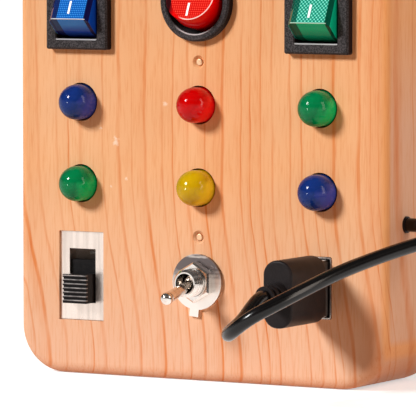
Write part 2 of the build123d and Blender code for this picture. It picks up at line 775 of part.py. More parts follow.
def add_rocker_underside(plane, trunnion_end):
    """Trunnions, and the stem with the plunger's bore, below a rocker's pivot."""
    with BuildSketch(plane) as trunnion:
        Circle(TRUNNION_R)
    extrude(trunnion.sketch, amount=trunnion_end, both=True)
    inward = Plane(origin=plane.origin, x_dir=plane.z_dir, z_dir=-plane.x_dir)
    with BuildSketch(inward) as stem:
        Circle(STEM_R)
    extrude(stem.sketch, amount=ROCKER_UNDERSIDE + STEM_L)
    bore_top = PLUNGER_REACH - PLUNGER_L
    with BuildSketch(inward.offset(bore_top)) as bore:
        Circle(PLUNGER_R + SEAT_GAP)
    extrude(bore.sketch, amount=ROCKER_UNDERSIDE + STEM_L - bore_top, mode=Mode.SUBTRACT)


def make_rocker(x):
    """Rectangular rocker with a valley between two ridges, tilted with its lower half out."""
    plane = side_plane(x, PIVOT_DEPTH, TOP_ROW, ROCKER_TILT)
    corner_z = math.sqrt(ROCKER_ARC_R**2 - ROCKER_CORNER**2)
    foot_z = math.sqrt(ROCKER_ARC_R**2 - ROCKER_UNDERSIDE**2)
    half_w = OPENING_W / 2 - ROCKER_SIDE_GAP
    with BuildPart() as rocker:
        with BuildSketch(plane):
            with BuildLine():
                Polyline(
                    (ROCKER_CORNER, corner_z),
                    (ROCKER_RIDGE, ROCKER_RIDGE_Z),
                    (ROCKER_VALLEY, 0),
                    (ROCKER_RIDGE, -ROCKER_RIDGE_Z),
                    (ROCKER_CORNER, -corner_z),
                )
                ThreePointArc(
                    (ROCKER_CORNER, -corner_z),
                    (0, -ROCKER_ARC_R),
                    (-ROCKER_UNDERSIDE, -foot_z),
                )
                Line((-ROCKER_UNDERSIDE, -foot_z), (-ROCKER_UNDERSIDE, foot_z))
                ThreePointArc(
                    (-ROCKER_UNDERSIDE, foot_z),
                    (0, ROCKER_ARC_R),
                    (ROCKER_CORNER, corner_z),
                )
            make_face()
        extrude(amount=half_w, both=True)
        tops = rocker.faces().sort_by(Axis(plane.origin, plane.x_dir))[-2:]
        sides = tops.edges().filter_by(lambda e: abs(abs(e.center().X - x) - half_w) < ROCKER_BEVEL / 10)
        chamfer(sides, ROCKER_BEVEL)
        add_rocker_underside(plane, OPENING_W / 2 + TRUNNION_L - ROCKER_SIDE_GAP)
    return rocker


def make_round_rocker():
    """Round rocker: an oval that widens to a circle, with the same valley across its top."""
    plane = side_plane(0, PIVOT_DEPTH, TOP_ROW, ROCKER_TILT)
    outward = Plane(origin=plane.origin, x_dir=plane.z_dir, z_dir=plane.x_dir)
    with BuildPart() as rocker:
        with BuildSketch(outward.offset(ROCKER_CORNER)):
            Circle(ROUND_ROCKER_R)
        with BuildSketch(outward.offset(ROCKER_RIDGE)):
            Ellipse(ROUND_TOP_X, ROUND_TOP_Z)
        loft()
        with BuildSketch(outward.offset(-ROCKER_UNDERSIDE)):
            Circle(ROUND_ROCKER_R)
        extrude(amount=ROCKER_UNDERSIDE + ROCKER_CORNER)
        with BuildSketch(plane):
            with BuildLine():
                Polyline(
                    (ROCKER_VALLEY, 0),
                    (ROCKER_RIDGE, ROCKER_RIDGE_Z),
                    (ROCKER_RIDGE + BEZEL_T, ROCKER_RIDGE_Z + BEZEL_T),
                    (ROCKER_RIDGE + BEZEL_T, -ROCKER_RIDGE_Z - BEZEL_T),
                    (ROCKER_RIDGE, -ROCKER_RIDGE_Z),
                    close=True,
                )
            make_face()
        extrude(amount=ROUND_ROCKER_R + BEZEL_T, both=True, mode=Mode.SUBTRACT)
        add_rocker_underside(plane, ROUND_ROCKER_R + ROUND_TRUNNION_L)
    return rocker


def make_plunger(x):
    """Spring-loaded pin that slides in the rocker's stem and presses on the contact bar."""
    plane = side_plane(x, PIVOT_DEPTH, TOP_ROW, ROCKER_TILT)
    inward = Plane(origin=plane.origin, x_dir=plane.z_dir, z_dir=-plane.x_dir)
    with BuildPart() as plunger:
        with BuildSketch(inward.offset(PLUNGER_REACH - PLUNGER_L)):
            Circle(PLUNGER_R)
        extrude(amount=PLUNGER_L)
        fillet(plunger.edges().sort_by(Axis.Y)[-1], PLUNGER_R * 0.8)
    return plunger


def make_contact_bar(x, row, depth, tilt, half_length, width):
    """Flat bar that rocks on the middle terminal."""
    plane = side_plane(x, depth, row, tilt)
    with BuildPart() as contact_bar:
        with BuildSketch(plane):
            Rectangle(BAR_T, 2 * half_length)
        extrude(amount=width / 2, both=True)
    return contact_bar


# Slide switch


def make_slide_frame():
    """Bright metal can whose face shows in the window, with an ear above and below."""
    outer_w = WINDOW_W - 2 * PANEL_GAP
    outer_h = WINDOW_H - 2 * PANEL_GAP
    with BuildPart() as slide_frame:
        with BuildSketch(front_plane(FRAME_DEPTH, SLIDE_X, BOTTOM_ROW)):
            Rectangle(outer_w, outer_h)
        extrude(amount=FRAME_DEPTH - PLATE_DEPTH)
        with BuildSketch(front_plane(EAR_BACK, SLIDE_X, BOTTOM_ROW)):
            Rectangle(EAR_W, WINDOW_H + 2 * EAR_H)
        extrude(amount=FRAME_T)
        with BuildSketch(front_plane(FRAME_DEPTH, SLIDE_X, BOTTOM_ROW)):
            Rectangle(outer_w - 2 * FRAME_T, outer_h - 2 * FRAME_T)
        extrude(amount=FRAME_DEPTH - PLATE_DEPTH_BACK, mode=Mode.SUBTRACT)
        with BuildSketch(front_plane(PLATE_DEPTH_BACK, SLIDE_X, BOTTOM_ROW)):
            Rectangle(SLOT_W, SLOT_H)
        extrude(amount=FRAME_T, mode=Mode.SUBTRACT)
        with Locations(back_plane(EAR_BACK, SLIDE_X, BOTTOM_ROW)):
            with GridLocations(0, 2 * EAR_SCREW_Z, 1, 2):
                Hole(SMALL_SCREW_R + PANEL_GAP, FRAME_T)
    return slide_frame


def make_slide_base():
    """Insulating board that closes the back of the can."""
    width = WINDOW_W - 2 * PANEL_GAP - 2 * FRAME_T - 2 * SEAT_GAP
    height = WINDOW_H - 2 * PANEL_GAP - 2 * FRAME_T - 2 * SEAT_GAP
    with BuildPart() as slide_base:
        with BuildSketch(front_plane(FRAME_DEPTH, SLIDE_X, BOTTOM_ROW)):
            Rectangle(width, height)
        extrude(amount=SLIDE_BASE_T)
        cut_blade_slots(
            SLIDE_X,
            BOTTOM_ROW,
            SLIDE_BLADE_W,
            SLIDE_BLADE_PITCH,
            SLIDE_BLADE_T,
            FRAME_DEPTH,
            FRAME_DEPTH - SLIDE_BASE_T,
        )
    return slide_base


def add_pan_head_screw(length):
    """Pan head screw pointing into the plane that it is placed on."""
    Cylinder(SMALL_HEAD_R, SMALL_HEAD_T, align=(Align.CENTER, Align.CENTER, Align.MIN))
    Cylinder(SMALL_SCREW_R, length, align=(Align.CENTER, Align.CENTER, Align.MAX))


def make_slide_screws():
    with BuildPart() as slide_screws:
        with Locations(back_plane(EAR_BACK, SLIDE_X, BOTTOM_ROW)):
            with GridLocations(0, 2 * EAR_SCREW_Z, 1, 2):
                add_pan_head_screw(FRONT_WALL - PLATE_DEPTH)
    return slide_screws


def make_slide_knob():
    """Ribbed knob and the slider under the plate, at the lower end of its slot."""
    rib_pitch = KNOB_H / RIB_COUNT
    with BuildPart() as slide_knob:
        with BuildSketch(front_plane(SLIDER_DEPTH, SLIDE_X, KNOB_Z)):
            Rectangle(SLIDER_W, SLIDER_H)
        extrude(amount=SLIDER_T)
        with BuildSketch(front_plane(SLIDER_DEPTH, SLIDE_X, KNOB_Z)):
            Rectangle(KNOB_W, KNOB_H)
        extrude(amount=SLIDER_DEPTH + KNOB_PROUD)
        with BuildSketch(front_plane(-KNOB_PROUD, SLIDE_X, KNOB_Z)):
            with GridLocations(0, rib_pitch, 1, RIB_COUNT - 1):
                Rectangle(KNOB_W, rib_pitch / 2)
        extrude(amount=-RIB_DEPTH, mode=Mode.SUBTRACT)
    return slide_knob


def make_slide_contact():
    with BuildPart() as slide_contact:
        with BuildSketch(front_plane(SLIDER_DEPTH + SLIDE_CONTACT_T, SLIDE_X, KNOB_Z)):
            Rectangle(SLIDE_CONTACT_W, SLIDE_CONTACT_H)
        extrude(amount=SLIDE_CONTACT_T)
    return slide_contact


# Toggle switch


def make_toggle_bushing():
    """Threaded bushing with the plate that closes the switch body."""
    plane = side_plane(0, 0, BOTTOM_ROW)
    with BuildPart() as toggle_bushing:
        with BuildSketch(front_plane(FRONT_WALL + BUSHING_PLATE_T, 0, BOTTOM_ROW)):
            Rectangle(TOGGLE_BODY_W - BUSHING_PLATE_INSET, TOGGLE_BODY_H - BUSHING_PLATE_INSET)
        extrude(amount=BUSHING_PLATE_T)
        with BuildSketch(front_plane(FRONT_WALL, 0, BOTTOM_ROW)):
            Circle(BUSHING_R)
        extrude(amount=FRONT_WALL + BUSHING_PROUD)
        chamfer(toggle_bushing.faces().sort_by(Axis.Y)[0].edges(), BUSHING_CHAMFER)
        with BuildSketch(plane):
            for turn in range(THREAD_TURNS):
                root = BUSHING_PROUD - BUSHING_CHAMFER - (turn + 0.5) * THREAD_PITCH
                with BuildLine():
                    Polyline(
                        (root - THREAD_DEPTH, BUSHING_R),
                        (root, BUSHING_R - THREAD_DEPTH),
                        (root + THREAD_DEPTH, BUSHING_R),
                        close=True,
                    )
                make_face()
        revolve(axis=axis_of(plane), mode=Mode.SUBTRACT)
        with BuildSketch(plane):
            with BuildLine():
                Polyline(
                    (-PLATE_BACK, 0),
                    (-PLATE_BACK, BUSHING_BORE_R),
                    (LEVER_PIVOT - BUSHING_THROAT_HALF_L, BUSHING_BORE_R),
                    (LEVER_PIVOT - BUSHING_THROAT_HALF_L, BUSHING_THROAT_R),
                    (LEVER_PIVOT + BUSHING_THROAT_HALF_L, BUSHING_THROAT_R),
                    (BUSHING_PROUD, BUSHING_MOUTH_R),
                    (BUSHING_PROUD, 0),
                    close=True,
                )
            make_face()
        revolve(axis=axis_of(plane), mode=Mode.SUBTRACT)
    return toggle_bushing


def make_toggle_washer():
    """Flat washer with its locating tab at the bottom, a little turned."""
    with BuildPart() as toggle_washer:
        with BuildSketch(front_plane(0, 0, BOTTOM_ROW)):
            Circle(WASHER_R)
            with PolarLocations(WASHER_R, 1, start_angle=-90 - WASHER_TURN):
                Rectangle(2 * WASHER_TAB_L, WASHER_TAB_W)
            Circle(BUSHING_R + PANEL_GAP, mode=Mode.SUBTRACT)
        extrude(amount=WASHER_T)
    return toggle_washer


def make_toggle_nut():
    """Hexagon nut, one corner up."""
    with BuildPart() as toggle_nut:
        with BuildSketch(front_plane(-WASHER_T, 0, BOTTOM_ROW)):
            RegularPolygon(NUT_ACROSS / 2, 6, major_radius=False, rotation=30)
            Circle(BUSHING_R + SEAT_GAP, mode=Mode.SUBTRACT)
        extrude(amount=NUT_T)
        outer_edges = toggle_nut.faces().sort_by(Axis.Y)[0].edges().filter_by(GeomType.LINE)
        chamfer(outer_edges, NUT_CHAMFER)
    return toggle_nut


def make_toggle_body():
    """Box with the terminals, behind the wall."""
    with BuildPart() as toggle_body:
        with BuildSketch(front_plane(TOGGLE_BODY_DEPTH, 0, BOTTOM_ROW)):
            Rectangle(TOGGLE_BODY_W, TOGGLE_BODY_H)
        extrude(amount=TOGGLE_BODY_DEPTH - PLATE_BACK)
        floor_top = TOGGLE_BODY_DEPTH - TOGGLE_FLOOR
        with BuildSketch(front_plane(floor_top, 0, BOTTOM_ROW)):
            Rectangle(TOGGLE_BODY_W - 2 * TOGGLE_WALL, TOGGLE_BODY_H - 2 * TOGGLE_WALL)
        extrude(amount=floor_top - PLATE_BACK, mode=Mode.SUBTRACT)
        cut_blade_slots(
            0,
            BOTTOM_ROW,
            TOGGLE_BLADE_W,
            TOGGLE_BLADE_PITCH,
            BLADE_T,
            TOGGLE_BODY_DEPTH,
            floor_top,
        )
    return toggle_body


def make_toggle_lever():
    """Bat lever on a ball in the bushing's throat, resting with its tip down."""
    plane = side_plane(0, -LEVER_PIVOT, BOTTOM_ROW, -LEVER_TILT)
    ball_at = plane.origin + plane.x_dir * LEVER_BALL_AT
    with BuildPart() as toggle_lever:
        with BuildSketch(plane):
            with BuildLine():
                Polyline(
                    (-LEVER_TAIL, 0),
                    (-LEVER_TAIL, LEVER_TAIL_R),
                    (0, LEVER_NECK_R),
                    (LEVER_BALL_AT, LEVER_TIP_R),
                    (LEVER_BALL_AT, 0),
                    close=True,
                )
            make_face()
        revolve(axis=axis_of(plane))
        with Locations(plane.origin):
            Sphere(BUSHING_THROAT_R - RUNNING_GAP)
        with Locations(ball_at):
            Sphere(LEVER_BALL_R)
    return toggle_lever


# USB port, its board and the plug


def make_port_shell():
    with BuildPart() as port_shell:
        with BuildSketch(front_plane(PORT_BACK, USB_X, BOTTOM_ROW)):
            RectangleRounded(PORT_W, PORT_H, PORT_R)
        extrude(amount=PORT_BACK + PORT_PROUD)
        with BuildSketch(front_plane(PORT_BACK, USB_X, BOTTOM_ROW)):
            RectangleRounded(PORT_W - 2 * PORT_WALL, PORT_H - 2 * PORT_WALL, PORT_R - PORT_WALL)
        extrude(amount=PORT_BACK + PORT_PROUD, mode=Mode.SUBTRACT)
    return port_shell


def make_port_tongue():
    """Insulator at the back of the port, with the tongue that carries its contacts."""
    block_w = PORT_W - 2 * PORT_WALL - 2 * SEAT_GAP
    block_h = PORT_H - 2 * PORT_WALL - 2 * SEAT_GAP
    tongue_x = USB_X + TONGUE_OFFSET + TONGUE_T / 2
    with BuildPart() as port_tongue:
        with BuildSketch(front_plane(PORT_BACK, USB_X, BOTTOM_ROW)):
            RectangleRounded(block_w, block_h, PORT_R - PORT_WALL)
        extrude(amount=PORT_BACK - PORT_BLOCK_DEPTH)
        with BuildSketch(front_plane(PORT_BLOCK_DEPTH, tongue_x, BOTTOM_ROW)):
            Rectangle(TONGUE_T, TONGUE_H)
        extrude(amount=PORT_BLOCK_DEPTH - TONGUE_FRONT)
    return port_tongue


def make_port_contacts():
    contact_x = USB_X + TONGUE_OFFSET - USB_CONTACT_T / 2
    with BuildPart() as port_contacts:
        with BuildSketch(front_plane(PORT_BLOCK_DEPTH, contact_x, BOTTOM_ROW)):
            with GridLocations(0, USB_CONTACT_PITCH, 1, 4):
                Rectangle(USB_CONTACT_T, USB_CONTACT_W)
        extrude(amount=PORT_BLOCK_DEPTH - TONGUE_FRONT - USB_CONTACT_INSET)
    return port_contacts


def make_usb_board():
    """Small board behind the port, screwed to its block in the case."""
    with BuildPart() as usb_board:
        with BuildSketch(front_plane(USB_BOARD_BACK, USB_BOARD_X, BOTTOM_ROW)):
            Rectangle(USB_BOARD_W, USB_BOARD_H)
        extrude(amount=USB_BOARD_T)
        with Locations(back_plane(USB_BOARD_BACK, USB_BLOCK_X, BOTTOM_ROW)):
            with GridLocations(0, 2 * USB_SCREW_Z, 1, 2):
                Hole(SMALL_SCREW_R + PANEL_GAP, USB_BOARD_T)
    return usb_board


def make_usb_board_screws():
    with BuildPart() as usb_board_screws:
        with Locations(back_plane(USB_BOARD_BACK, USB_BLOCK_X, BOTTOM_ROW)):
            with GridLocations(0, 2 * USB_SCREW_Z, 1, 2):
                add_pan_head_screw(USB_SCREW_L)
    return usb_board_screws


def make_plug_shell():
    """Metal sleeve of the plug, pushed most of the way into the port."""
    hole_depth = PLUG_REACH - PLUG_HOLE_FROM_TIP
    with BuildPart() as plug_shell:
        with BuildSketch(front_plane(PLUG_REACH, USB_X, BOTTOM_ROW)):
            RectangleRounded(PLUG_W, PLUG_H, PLUG_R)
            RectangleRounded(
                PLUG_W - 2 * PLUG_WALL,
                PLUG_H - 2 * PLUG_WALL,
                PLUG_R - PLUG_WALL,
                mode=Mode.SUBTRACT,
            )
        extrude(amount=PLUG_REACH + GRIP_GAP)
        with BuildSketch(side_plane(USB_X, hole_depth, BOTTOM_ROW)):
            with GridLocations(0, PLUG_HOLE_PITCH, 1, 2):
                Rectangle(PLUG_HOLE, PLUG_HOLE)
        extrude(amount=PLUG_W, both=True, mode=Mode.SUBTRACT)
    return plug_shell


def make_plug_insulator():
    inner_half_w = PLUG_W / 2 - PLUG_WALL - SEAT_GAP
    thickness = inner_half_w - PLUG_INSULATOR_OFFSET
    insulator_x = USB_X - PLUG_INSULATOR_OFFSET - thickness / 2
    with BuildPart() as plug_insulator:
        with BuildSketch(front_plane(PLUG_REACH - PLUG_WALL, insulator_x, BOTTOM_ROW)):
            Rectangle(thickness, PLUG_H - 2 * PLUG_WALL - 2 * SEAT_GAP - 2 * (PLUG_R - PLUG_WALL))
        extrude(amount=PLUG_REACH - PLUG_WALL + GRIP_GAP)
    return plug_insulator


def make_plug_contacts():
    contact_x = USB_X - PLUG_INSULATOR_OFFSET + USB_CONTACT_T / 2
    with BuildPart() as plug_contacts:
        with BuildSketch(front_plane(PLUG_REACH - USB_CONTACT_INSET, contact_x, BOTTOM_ROW)):
            with GridLocations(0, USB_CONTACT_PITCH, 1, 4):
                Rectangle(USB_CONTACT_T, USB_CONTACT_W)
        extrude(amount=PLUG_REACH - USB_CONTACT_INSET + GRIP_GAP)
    return plug_contacts


def make_plug_grip():
    with BuildPart() as plug_grip:
        with BuildSketch(front_plane(-GRIP_GAP, USB_X, BOTTOM_ROW)):
            RectangleRounded(GRIP_W, GRIP_H, GRIP_CORNER_R)
        extrude(amount=GRIP_L)
        fillet(plug_grip.faces().sort_by(Axis.Y)[0].edges(), GRIP_EDGE_R)
        fillet(plug_grip.faces().sort_by(Axis.Y)[-1].edges(), GRIP_EDGE_R / 2)
    return plug_grip


def make_plug_boot():
    """Tapered boot behind the grip, with grooves round it."""
    plane = side_plane(USB_X, -GRIP_END, BOTTOM_ROW)
    pitch = BOOT_L / (BOOT_RINGS + 1)
    taper = (BOOT_BASE_R - BOOT_END_R) / BOOT_L
    with BuildPart() as plug_boot:
        with BuildSketch(plane):
            with BuildLine():
                Polyline(
                    (0, 0),
                    (0, BOOT_BASE_R),
                    (BOOT_L, BOOT_END_R),
                    (BOOT_L, 0),
                    close=True,
                )
            make_face()
        revolve(axis=axis_of(plane))
        for ring in range(1, BOOT_RINGS + 1):
            ring_r = BOOT_BASE_R - taper * ring * pitch
            with BuildSketch(front_plane(-GRIP_END - ring * pitch - BOOT_GROOVE_W / 2, USB_X, BOTTOM_ROW)):
                Circle(BOOT_BASE_R)
                Circle(ring_r - BOOT_GROOVE, mode=Mode.SUBTRACT)
            extrude(amount=BOOT_GROOVE_W, mode=Mode.SUBTRACT)
    return plug_boot


# Cord, its bush and the wires


def make_cord_grommet():
    """Moulded grommet: a stem through the side wall, a socket for the cord, a flange inside."""
    with BuildPart() as cord_grommet:
        with BuildSketch(cord_plane(POCKET_W / 2)):
            Circle(BUSH_R)
        extrude(amount=SIDE_WALL + BUSH_PROUD)
        with BuildSketch(cord_plane(POCKET_W / 2)):
            Circle(BUSH_FLANGE_R)
        extrude(amount=-BUSH_FLANGE_T)
        with BuildSketch(cord_plane(BUSH_TIP_X)):
            Circle(CORD_R)
        extrude(amount=-BUSH_SOCKET, mode=Mode.SUBTRACT)
    return cord_grommet


def bend_radii(points):
    """Largest arc at each corner that leaves a tenth of the shorter run straight."""
    radii = []
    for before, corner, after in zip(points, points[1:], points[2:]):
        run_in = Vector(*corner) - Vector(*before)
        run_out = Vector(*after) - Vector(*corner)
        half_turn = math.radians(run_in.get_angle(run_out) / 2)
        radii.append(0.45 * min(run_in.length, run_out.length) / math.tan(half_turn))
    return radii


def make_usb_cord():
    """Cord from the plug's boot, down and round to the right, into the side of the case."""
    points = [place(*spot) for spot in CORD_ROUTE]
    radii = bend_radii(points)
    with BuildPart() as usb_cord:
        with BuildLine() as route:
            FilletPolyline(*points, radius=radii)
        with BuildSketch(Plane(origin=route.line @ 0, z_dir=route.line % 0)):
            Circle(CORD_R)
        sweep(path=route.line)
    length = sum(edge.length for edge in route.edges())
    tube = math.pi * CORD_R**2 * length
    print("cord radii", [round(radius, 1) for radius in radii])
    print(f"cord length {length:.1f}, volume {usb_cord.part.volume:.1f} of {tube:.1f}")
    return usb_cord


def add_wire(spots):
    """Insulated wire through a list of spots, each as x, depth and height."""
    with BuildLine() as route:
        FilletPolyline(*[place(*spot) for spot in spots], radius=WIRE_BEND)
    with BuildSketch(Plane(origin=route.line @ 0, z_dir=route.line % 0)) as section:
        Circle(WIRE_R)
    sweep(section.sketch, path=route.line)


def add_link(x_from, x_to, blade_end, row, depth):
    """Wire from one terminal back, across and forward to another one in the same row."""
    add_wire([(x_from, blade_end, row), (x_from, depth, row), (x_to, depth, row), (x_to, blade_end, row)])


def make_red_wires():
    """Feeds: lamp board to each switch, and battery tray to lamp board."""
    board_top = BOARD_TOP - WIRE_EDGE
    board_bottom = BOARD_BOTTOM + WIRE_EDGE
    switch_blade = TOP_ROW - BLADE_PITCH
    tray_top = PIN_MIDDLE_Z + TRAY_H / 2
    slide_blade = BOTTOM_ROW + SLIDE_BLADE_PITCH
    toggle_blade = BOTTOM_ROW + TOGGLE_BLADE_PITCH
    inlet_x = POCKET_W / 2 - BUSH_FLANGE_T
    with BuildPart() as red_wires:
        for x_from, x_to in zip((-COLUMN_PITCH, POST_R + 2 * WIRE_R, COLUMN_PITCH), COLUMNS):
            add_wire([
                (x_from, LAMP_BOARD_BACK, board_top),
                (x_from, WIRE_BACK_DEPTH, board_top),
                (x_to, WIRE_BACK_DEPTH, switch_blade),
                (x_to, BLADE_END, switch_blade),
            ])
        add_wire([
            (COLUMN_PITCH / 2, WIRE_LOW_DEPTH, tray_top),
            (COLUMN_PITCH / 2, WIRE_LOW_DEPTH, board_top),
            (COLUMN_PITCH / 2, LAMP_BOARD_BACK, board_top),
        ])
        add_wire([
            (SLIDE_X, LAMP_BOARD_BACK, board_bottom),
            (SLIDE_X, WIRE_LOW_DEPTH, board_bottom),
            (SLIDE_X, WIRE_LOW_DEPTH, slide_blade),
            (SLIDE_X, SLIDE_BLADE_END, slide_blade),
        ])
        add_wire([
            (-COLUMN_PITCH / 4, LAMP_BOARD_BACK, board_bottom),
            (-COLUMN_PITCH / 4, WIRE_BACK_DEPTH, board_bottom),
            (0, WIRE_BACK_DEPTH, toggle_blade),
            (0, TOGGLE_BLADE_END, toggle_blade),
        ])
        add_wire([
            (USB_X, LAMP_BOARD_BACK, board_bottom),
            (USB_X, WIRE_LOW_DEPTH, board_bottom),
            (USB_X, WIRE_LOW_DEPTH, toggle_blade),
            (USB_X, USB_BOARD_BACK, toggle_blade),
        ])
        add_wire([
            (inlet_x, CORD_DEPTH - WIRE_BEND, CORD_Z),
            (inlet_x - WIRE_INLET_L, CORD_DEPTH - WIRE_BEND, CORD_Z),
            (inlet_x - WIRE_INLET_L, LAMP_BOARD_DEPTH, CORD_Z),
        ])
    return red_wires


def make_black_wires():
    """Returns: from switch to switch along each row, and battery tray to lamp board."""
    board_top = BOARD_TOP - WIRE_EDGE
    tray_top = PIN_MIDDLE_Z + TRAY_H / 2
    low_blade = BOTTOM_ROW - TOGGLE_BLADE_PITCH
    with BuildPart() as black_wires:
        add_link(-COLUMN_PITCH, -BLADE_W / 4, BLADE_END, TOP_ROW, WIRE_BACK_DEPTH)
        add_link(COLUMN_PITCH, BLADE_W / 4, BLADE_END, TOP_ROW, WIRE_BACK_DEPTH)
        add_wire([
            (SLIDE_X, SLIDE_BLADE_END, BOTTOM_ROW),
            (SLIDE_X, WIRE_BACK_DEPTH, BOTTOM_ROW),
            (0, WIRE_BACK_DEPTH, BOTTOM_ROW),
            (0, TOGGLE_BLADE_END, BOTTOM_ROW),
        ])
        add_wire([
            (0, TOGGLE_BLADE_END, low_blade),
            (0, WIRE_BACK_DEPTH, low_blade),
            (USB_X, WIRE_BACK_DEPTH, low_blade),
            (USB_X, USB_BOARD_BACK, low_blade),
        ])
        add_wire([
            (-COLUMN_PITCH / 2, WIRE_LOW_DEPTH, tray_top),
            (-COLUMN_PITCH / 2, WIRE_LOW_DEPTH, board_top),
            (-COLUMN_PITCH / 2, LAMP_BOARD_BACK, board_top),
        ])
    return black_wires


def main():
    os.makedirs("parts", exist_ok=True)
    save(make_wood_case(), "wood_case")
    save(make_back_cover(), "back_cover")
    save(make_cover_screws(), "cover_screws")
    save(make_battery_door(), "battery_door")
    save(make_door_screws(), "door_screws")
    save(make_battery_tray(), "battery_tray")
    save(make_front_pins(), "front_pins")
    save(make_batteries(), "batteries")
    save(make_battery_springs(), "battery_springs")
    save(make_battery_contacts(), "battery_contacts")
    for name, spot in LAMPS.items():
        save(make_lamp(*spot), name)
    save(make_lamp_leads(), "lamp_leads")
    save(make_lamp_board(), "lamp_board")

    for colour, x in zip(("blue", "red", "green"), COLUMNS):
        tops = (END_BLADE_TOP, CENTRE_BLADE_TOP)
        terminals = make_blades(x, TOP_ROW, BLADE_W, BLADE_PITCH, BLADE_T, BLADE_END, tops)
        bar = make_contact_bar(x, TOP_ROW, BAR_DEPTH, -BAR_TILT, BAR_HALF_L, BAR_W)
        save(make_round_housing() if colour == "red" else make_rocker_housing(x), f"{colour}_switch_housing")
        save(make_round_rocker() if colour == "red" else make_rocker(x), f"{colour}_rocker")
        save(make_plunger(x), f"{colour}_plunger")
        save(bar, f"{colour}_contact_bar")
        save(terminals, f"{colour}_switch_terminals")

    save(make_slide_frame(), "slide_switch_frame")
    save(make_slide_base(), "slide_switch_base")
    save(make_slide_screws(), "slide_switch_screws")
    save(make_slide_knob(), "slide_knob")
    save(make_slide_contact(), "slide_contact")
    slide_tops = (SLIDE_BLADE_TOP, SLIDE_BLADE_TOP)
    slide_terminals = make_blades(
        SLIDE_X,
        BOTTOM_ROW,
        SLIDE_BLADE_W,
        SLIDE_BLADE_PITCH,
        SLIDE_BLADE_T,
        SLIDE_BLADE_END,
        slide_tops,
    )
    save(slide_terminals, "slide_switch_terminals")

    save(make_toggle_bushing(), "toggle_bushing")
    save(make_toggle_washer(), "toggle_washer")
    save(make_toggle_nut(), "toggle_nut")
    save(make_toggle_body(), "toggle_body")
    save(make_toggle_lever(), "toggle_lever")
    toggle_bar = make_contact_bar(
        0,
        BOTTOM_ROW,
        TOGGLE_BAR_DEPTH,
        TOGGLE_BAR_TILT,
        TOGGLE_BAR_HALF_L,
        TOGGLE_BAR_W,
    )
    save(toggle_bar, "toggle_contact_bar")
    toggle_terminals = make_blades(
        0,
        BOTTOM_ROW,
        TOGGLE_BLADE_W,
        TOGGLE_BLADE_PITCH,
        BLADE_T,
        TOGGLE_BLADE_END,
        (TOGGLE_END_TOP, TOGGLE_CENTRE_TOP),
    )
    save(toggle_terminals, "toggle_terminals")

    save(make_port_shell(), "usb_port_shell")
    save(make_port_tongue(), "usb_port_tongue")
    save(make_port_contacts(), "usb_port_contacts")
    save(make_usb_board(), "usb_board")
    save(make_usb_board_screws(), "usb_board_screws")
    save(make_plug_shell(), "plug_shell")
    save(make_plug_insulator(), "plug_insulator")
    save(make_plug_contacts(), "plug_contacts")
    save(make_plug_grip(), "plug_grip")
    save(make_plug_boot(), "plug_boot")
    save(make_usb_cord(), "usb_cord")
    save(make_cord_grommet(), "cord_grommet")
    save(make_red_wires(), "red_wires")
    save(make_black_wires(), "black_wires")


main()
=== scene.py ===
"""Looks for the wooden busy board: finishes for every solid, its cord, switch marks, light and camera.

All places are in metres in the frame of the solids: the board stands on its bottom face with its
front towards -Y. Sizes in finishes, and names that end in _MM, are in millimetres. A rocker tilts by TILT
degrees either way about its pivot, and its two faces rise from the valley over the pivot to a ridge.
"""
import logging
import math
from collections.abc import Callable
from dataclasses import dataclass
from enum import Enum
from functools import partial
from typing import Any

import bpy
from bpy.types import Material, Node, NodeSocket, NodeTree, Object
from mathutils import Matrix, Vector

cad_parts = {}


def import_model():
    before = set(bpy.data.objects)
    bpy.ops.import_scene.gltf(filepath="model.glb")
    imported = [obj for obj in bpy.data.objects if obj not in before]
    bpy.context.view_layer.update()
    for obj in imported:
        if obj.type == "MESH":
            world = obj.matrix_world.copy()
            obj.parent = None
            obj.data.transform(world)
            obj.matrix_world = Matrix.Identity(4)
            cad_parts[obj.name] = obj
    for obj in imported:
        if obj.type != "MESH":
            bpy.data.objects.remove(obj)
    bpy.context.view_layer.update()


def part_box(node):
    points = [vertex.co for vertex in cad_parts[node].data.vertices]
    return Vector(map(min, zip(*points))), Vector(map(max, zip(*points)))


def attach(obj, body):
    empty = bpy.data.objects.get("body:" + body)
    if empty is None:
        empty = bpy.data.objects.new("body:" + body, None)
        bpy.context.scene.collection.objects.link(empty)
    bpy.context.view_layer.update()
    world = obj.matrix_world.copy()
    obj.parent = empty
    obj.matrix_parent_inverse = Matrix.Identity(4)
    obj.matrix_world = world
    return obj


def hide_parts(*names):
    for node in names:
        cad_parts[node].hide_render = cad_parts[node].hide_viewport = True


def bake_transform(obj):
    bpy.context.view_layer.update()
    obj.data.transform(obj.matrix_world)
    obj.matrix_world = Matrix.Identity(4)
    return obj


Stops = tuple[tuple[float, str], ...]
Pair = tuple[float, float]
Triple = tuple[float, float, float]
Adder = Callable[..., Node]

LOG = logging.getLogger("busy_board")
OFF = "#000000"
FULL = "#FFFFFF"
MM = 0.001
COLUMN = 29.5 * MM
TOP_ROW = 81.5 * MM
FRONT = -14.0 * MM
PIVOT_Y = FRONT + 2.0 * MM
TILT = 12.0
VALLEY_MM = 5.5
RIDGE_MM = 5.5
SLOPE = 1.17 / RIDGE_MM
SPREAD = {"Subsurface Radius": (1.0, 1.0, 1.0), "Subsurface Scale": 1.5 * MM}


def linear(colour: str) -> tuple[float, float, float, float]:
    """Turn an sRGB hex value into linear light.

    Args:
        colour: The value, such as "#F6BD8B".

    Returns:
        Red, green, blue and alpha.
    """
    parts = [int(colour[place:place + 2], 16) / 255 for place in (1, 3, 5)]
    channels = [c / 12.92 if c <= 0.04045 else ((c + 0.055) / 1.055) ** 2.4 for c in parts]
    return (*channels, 1.0)


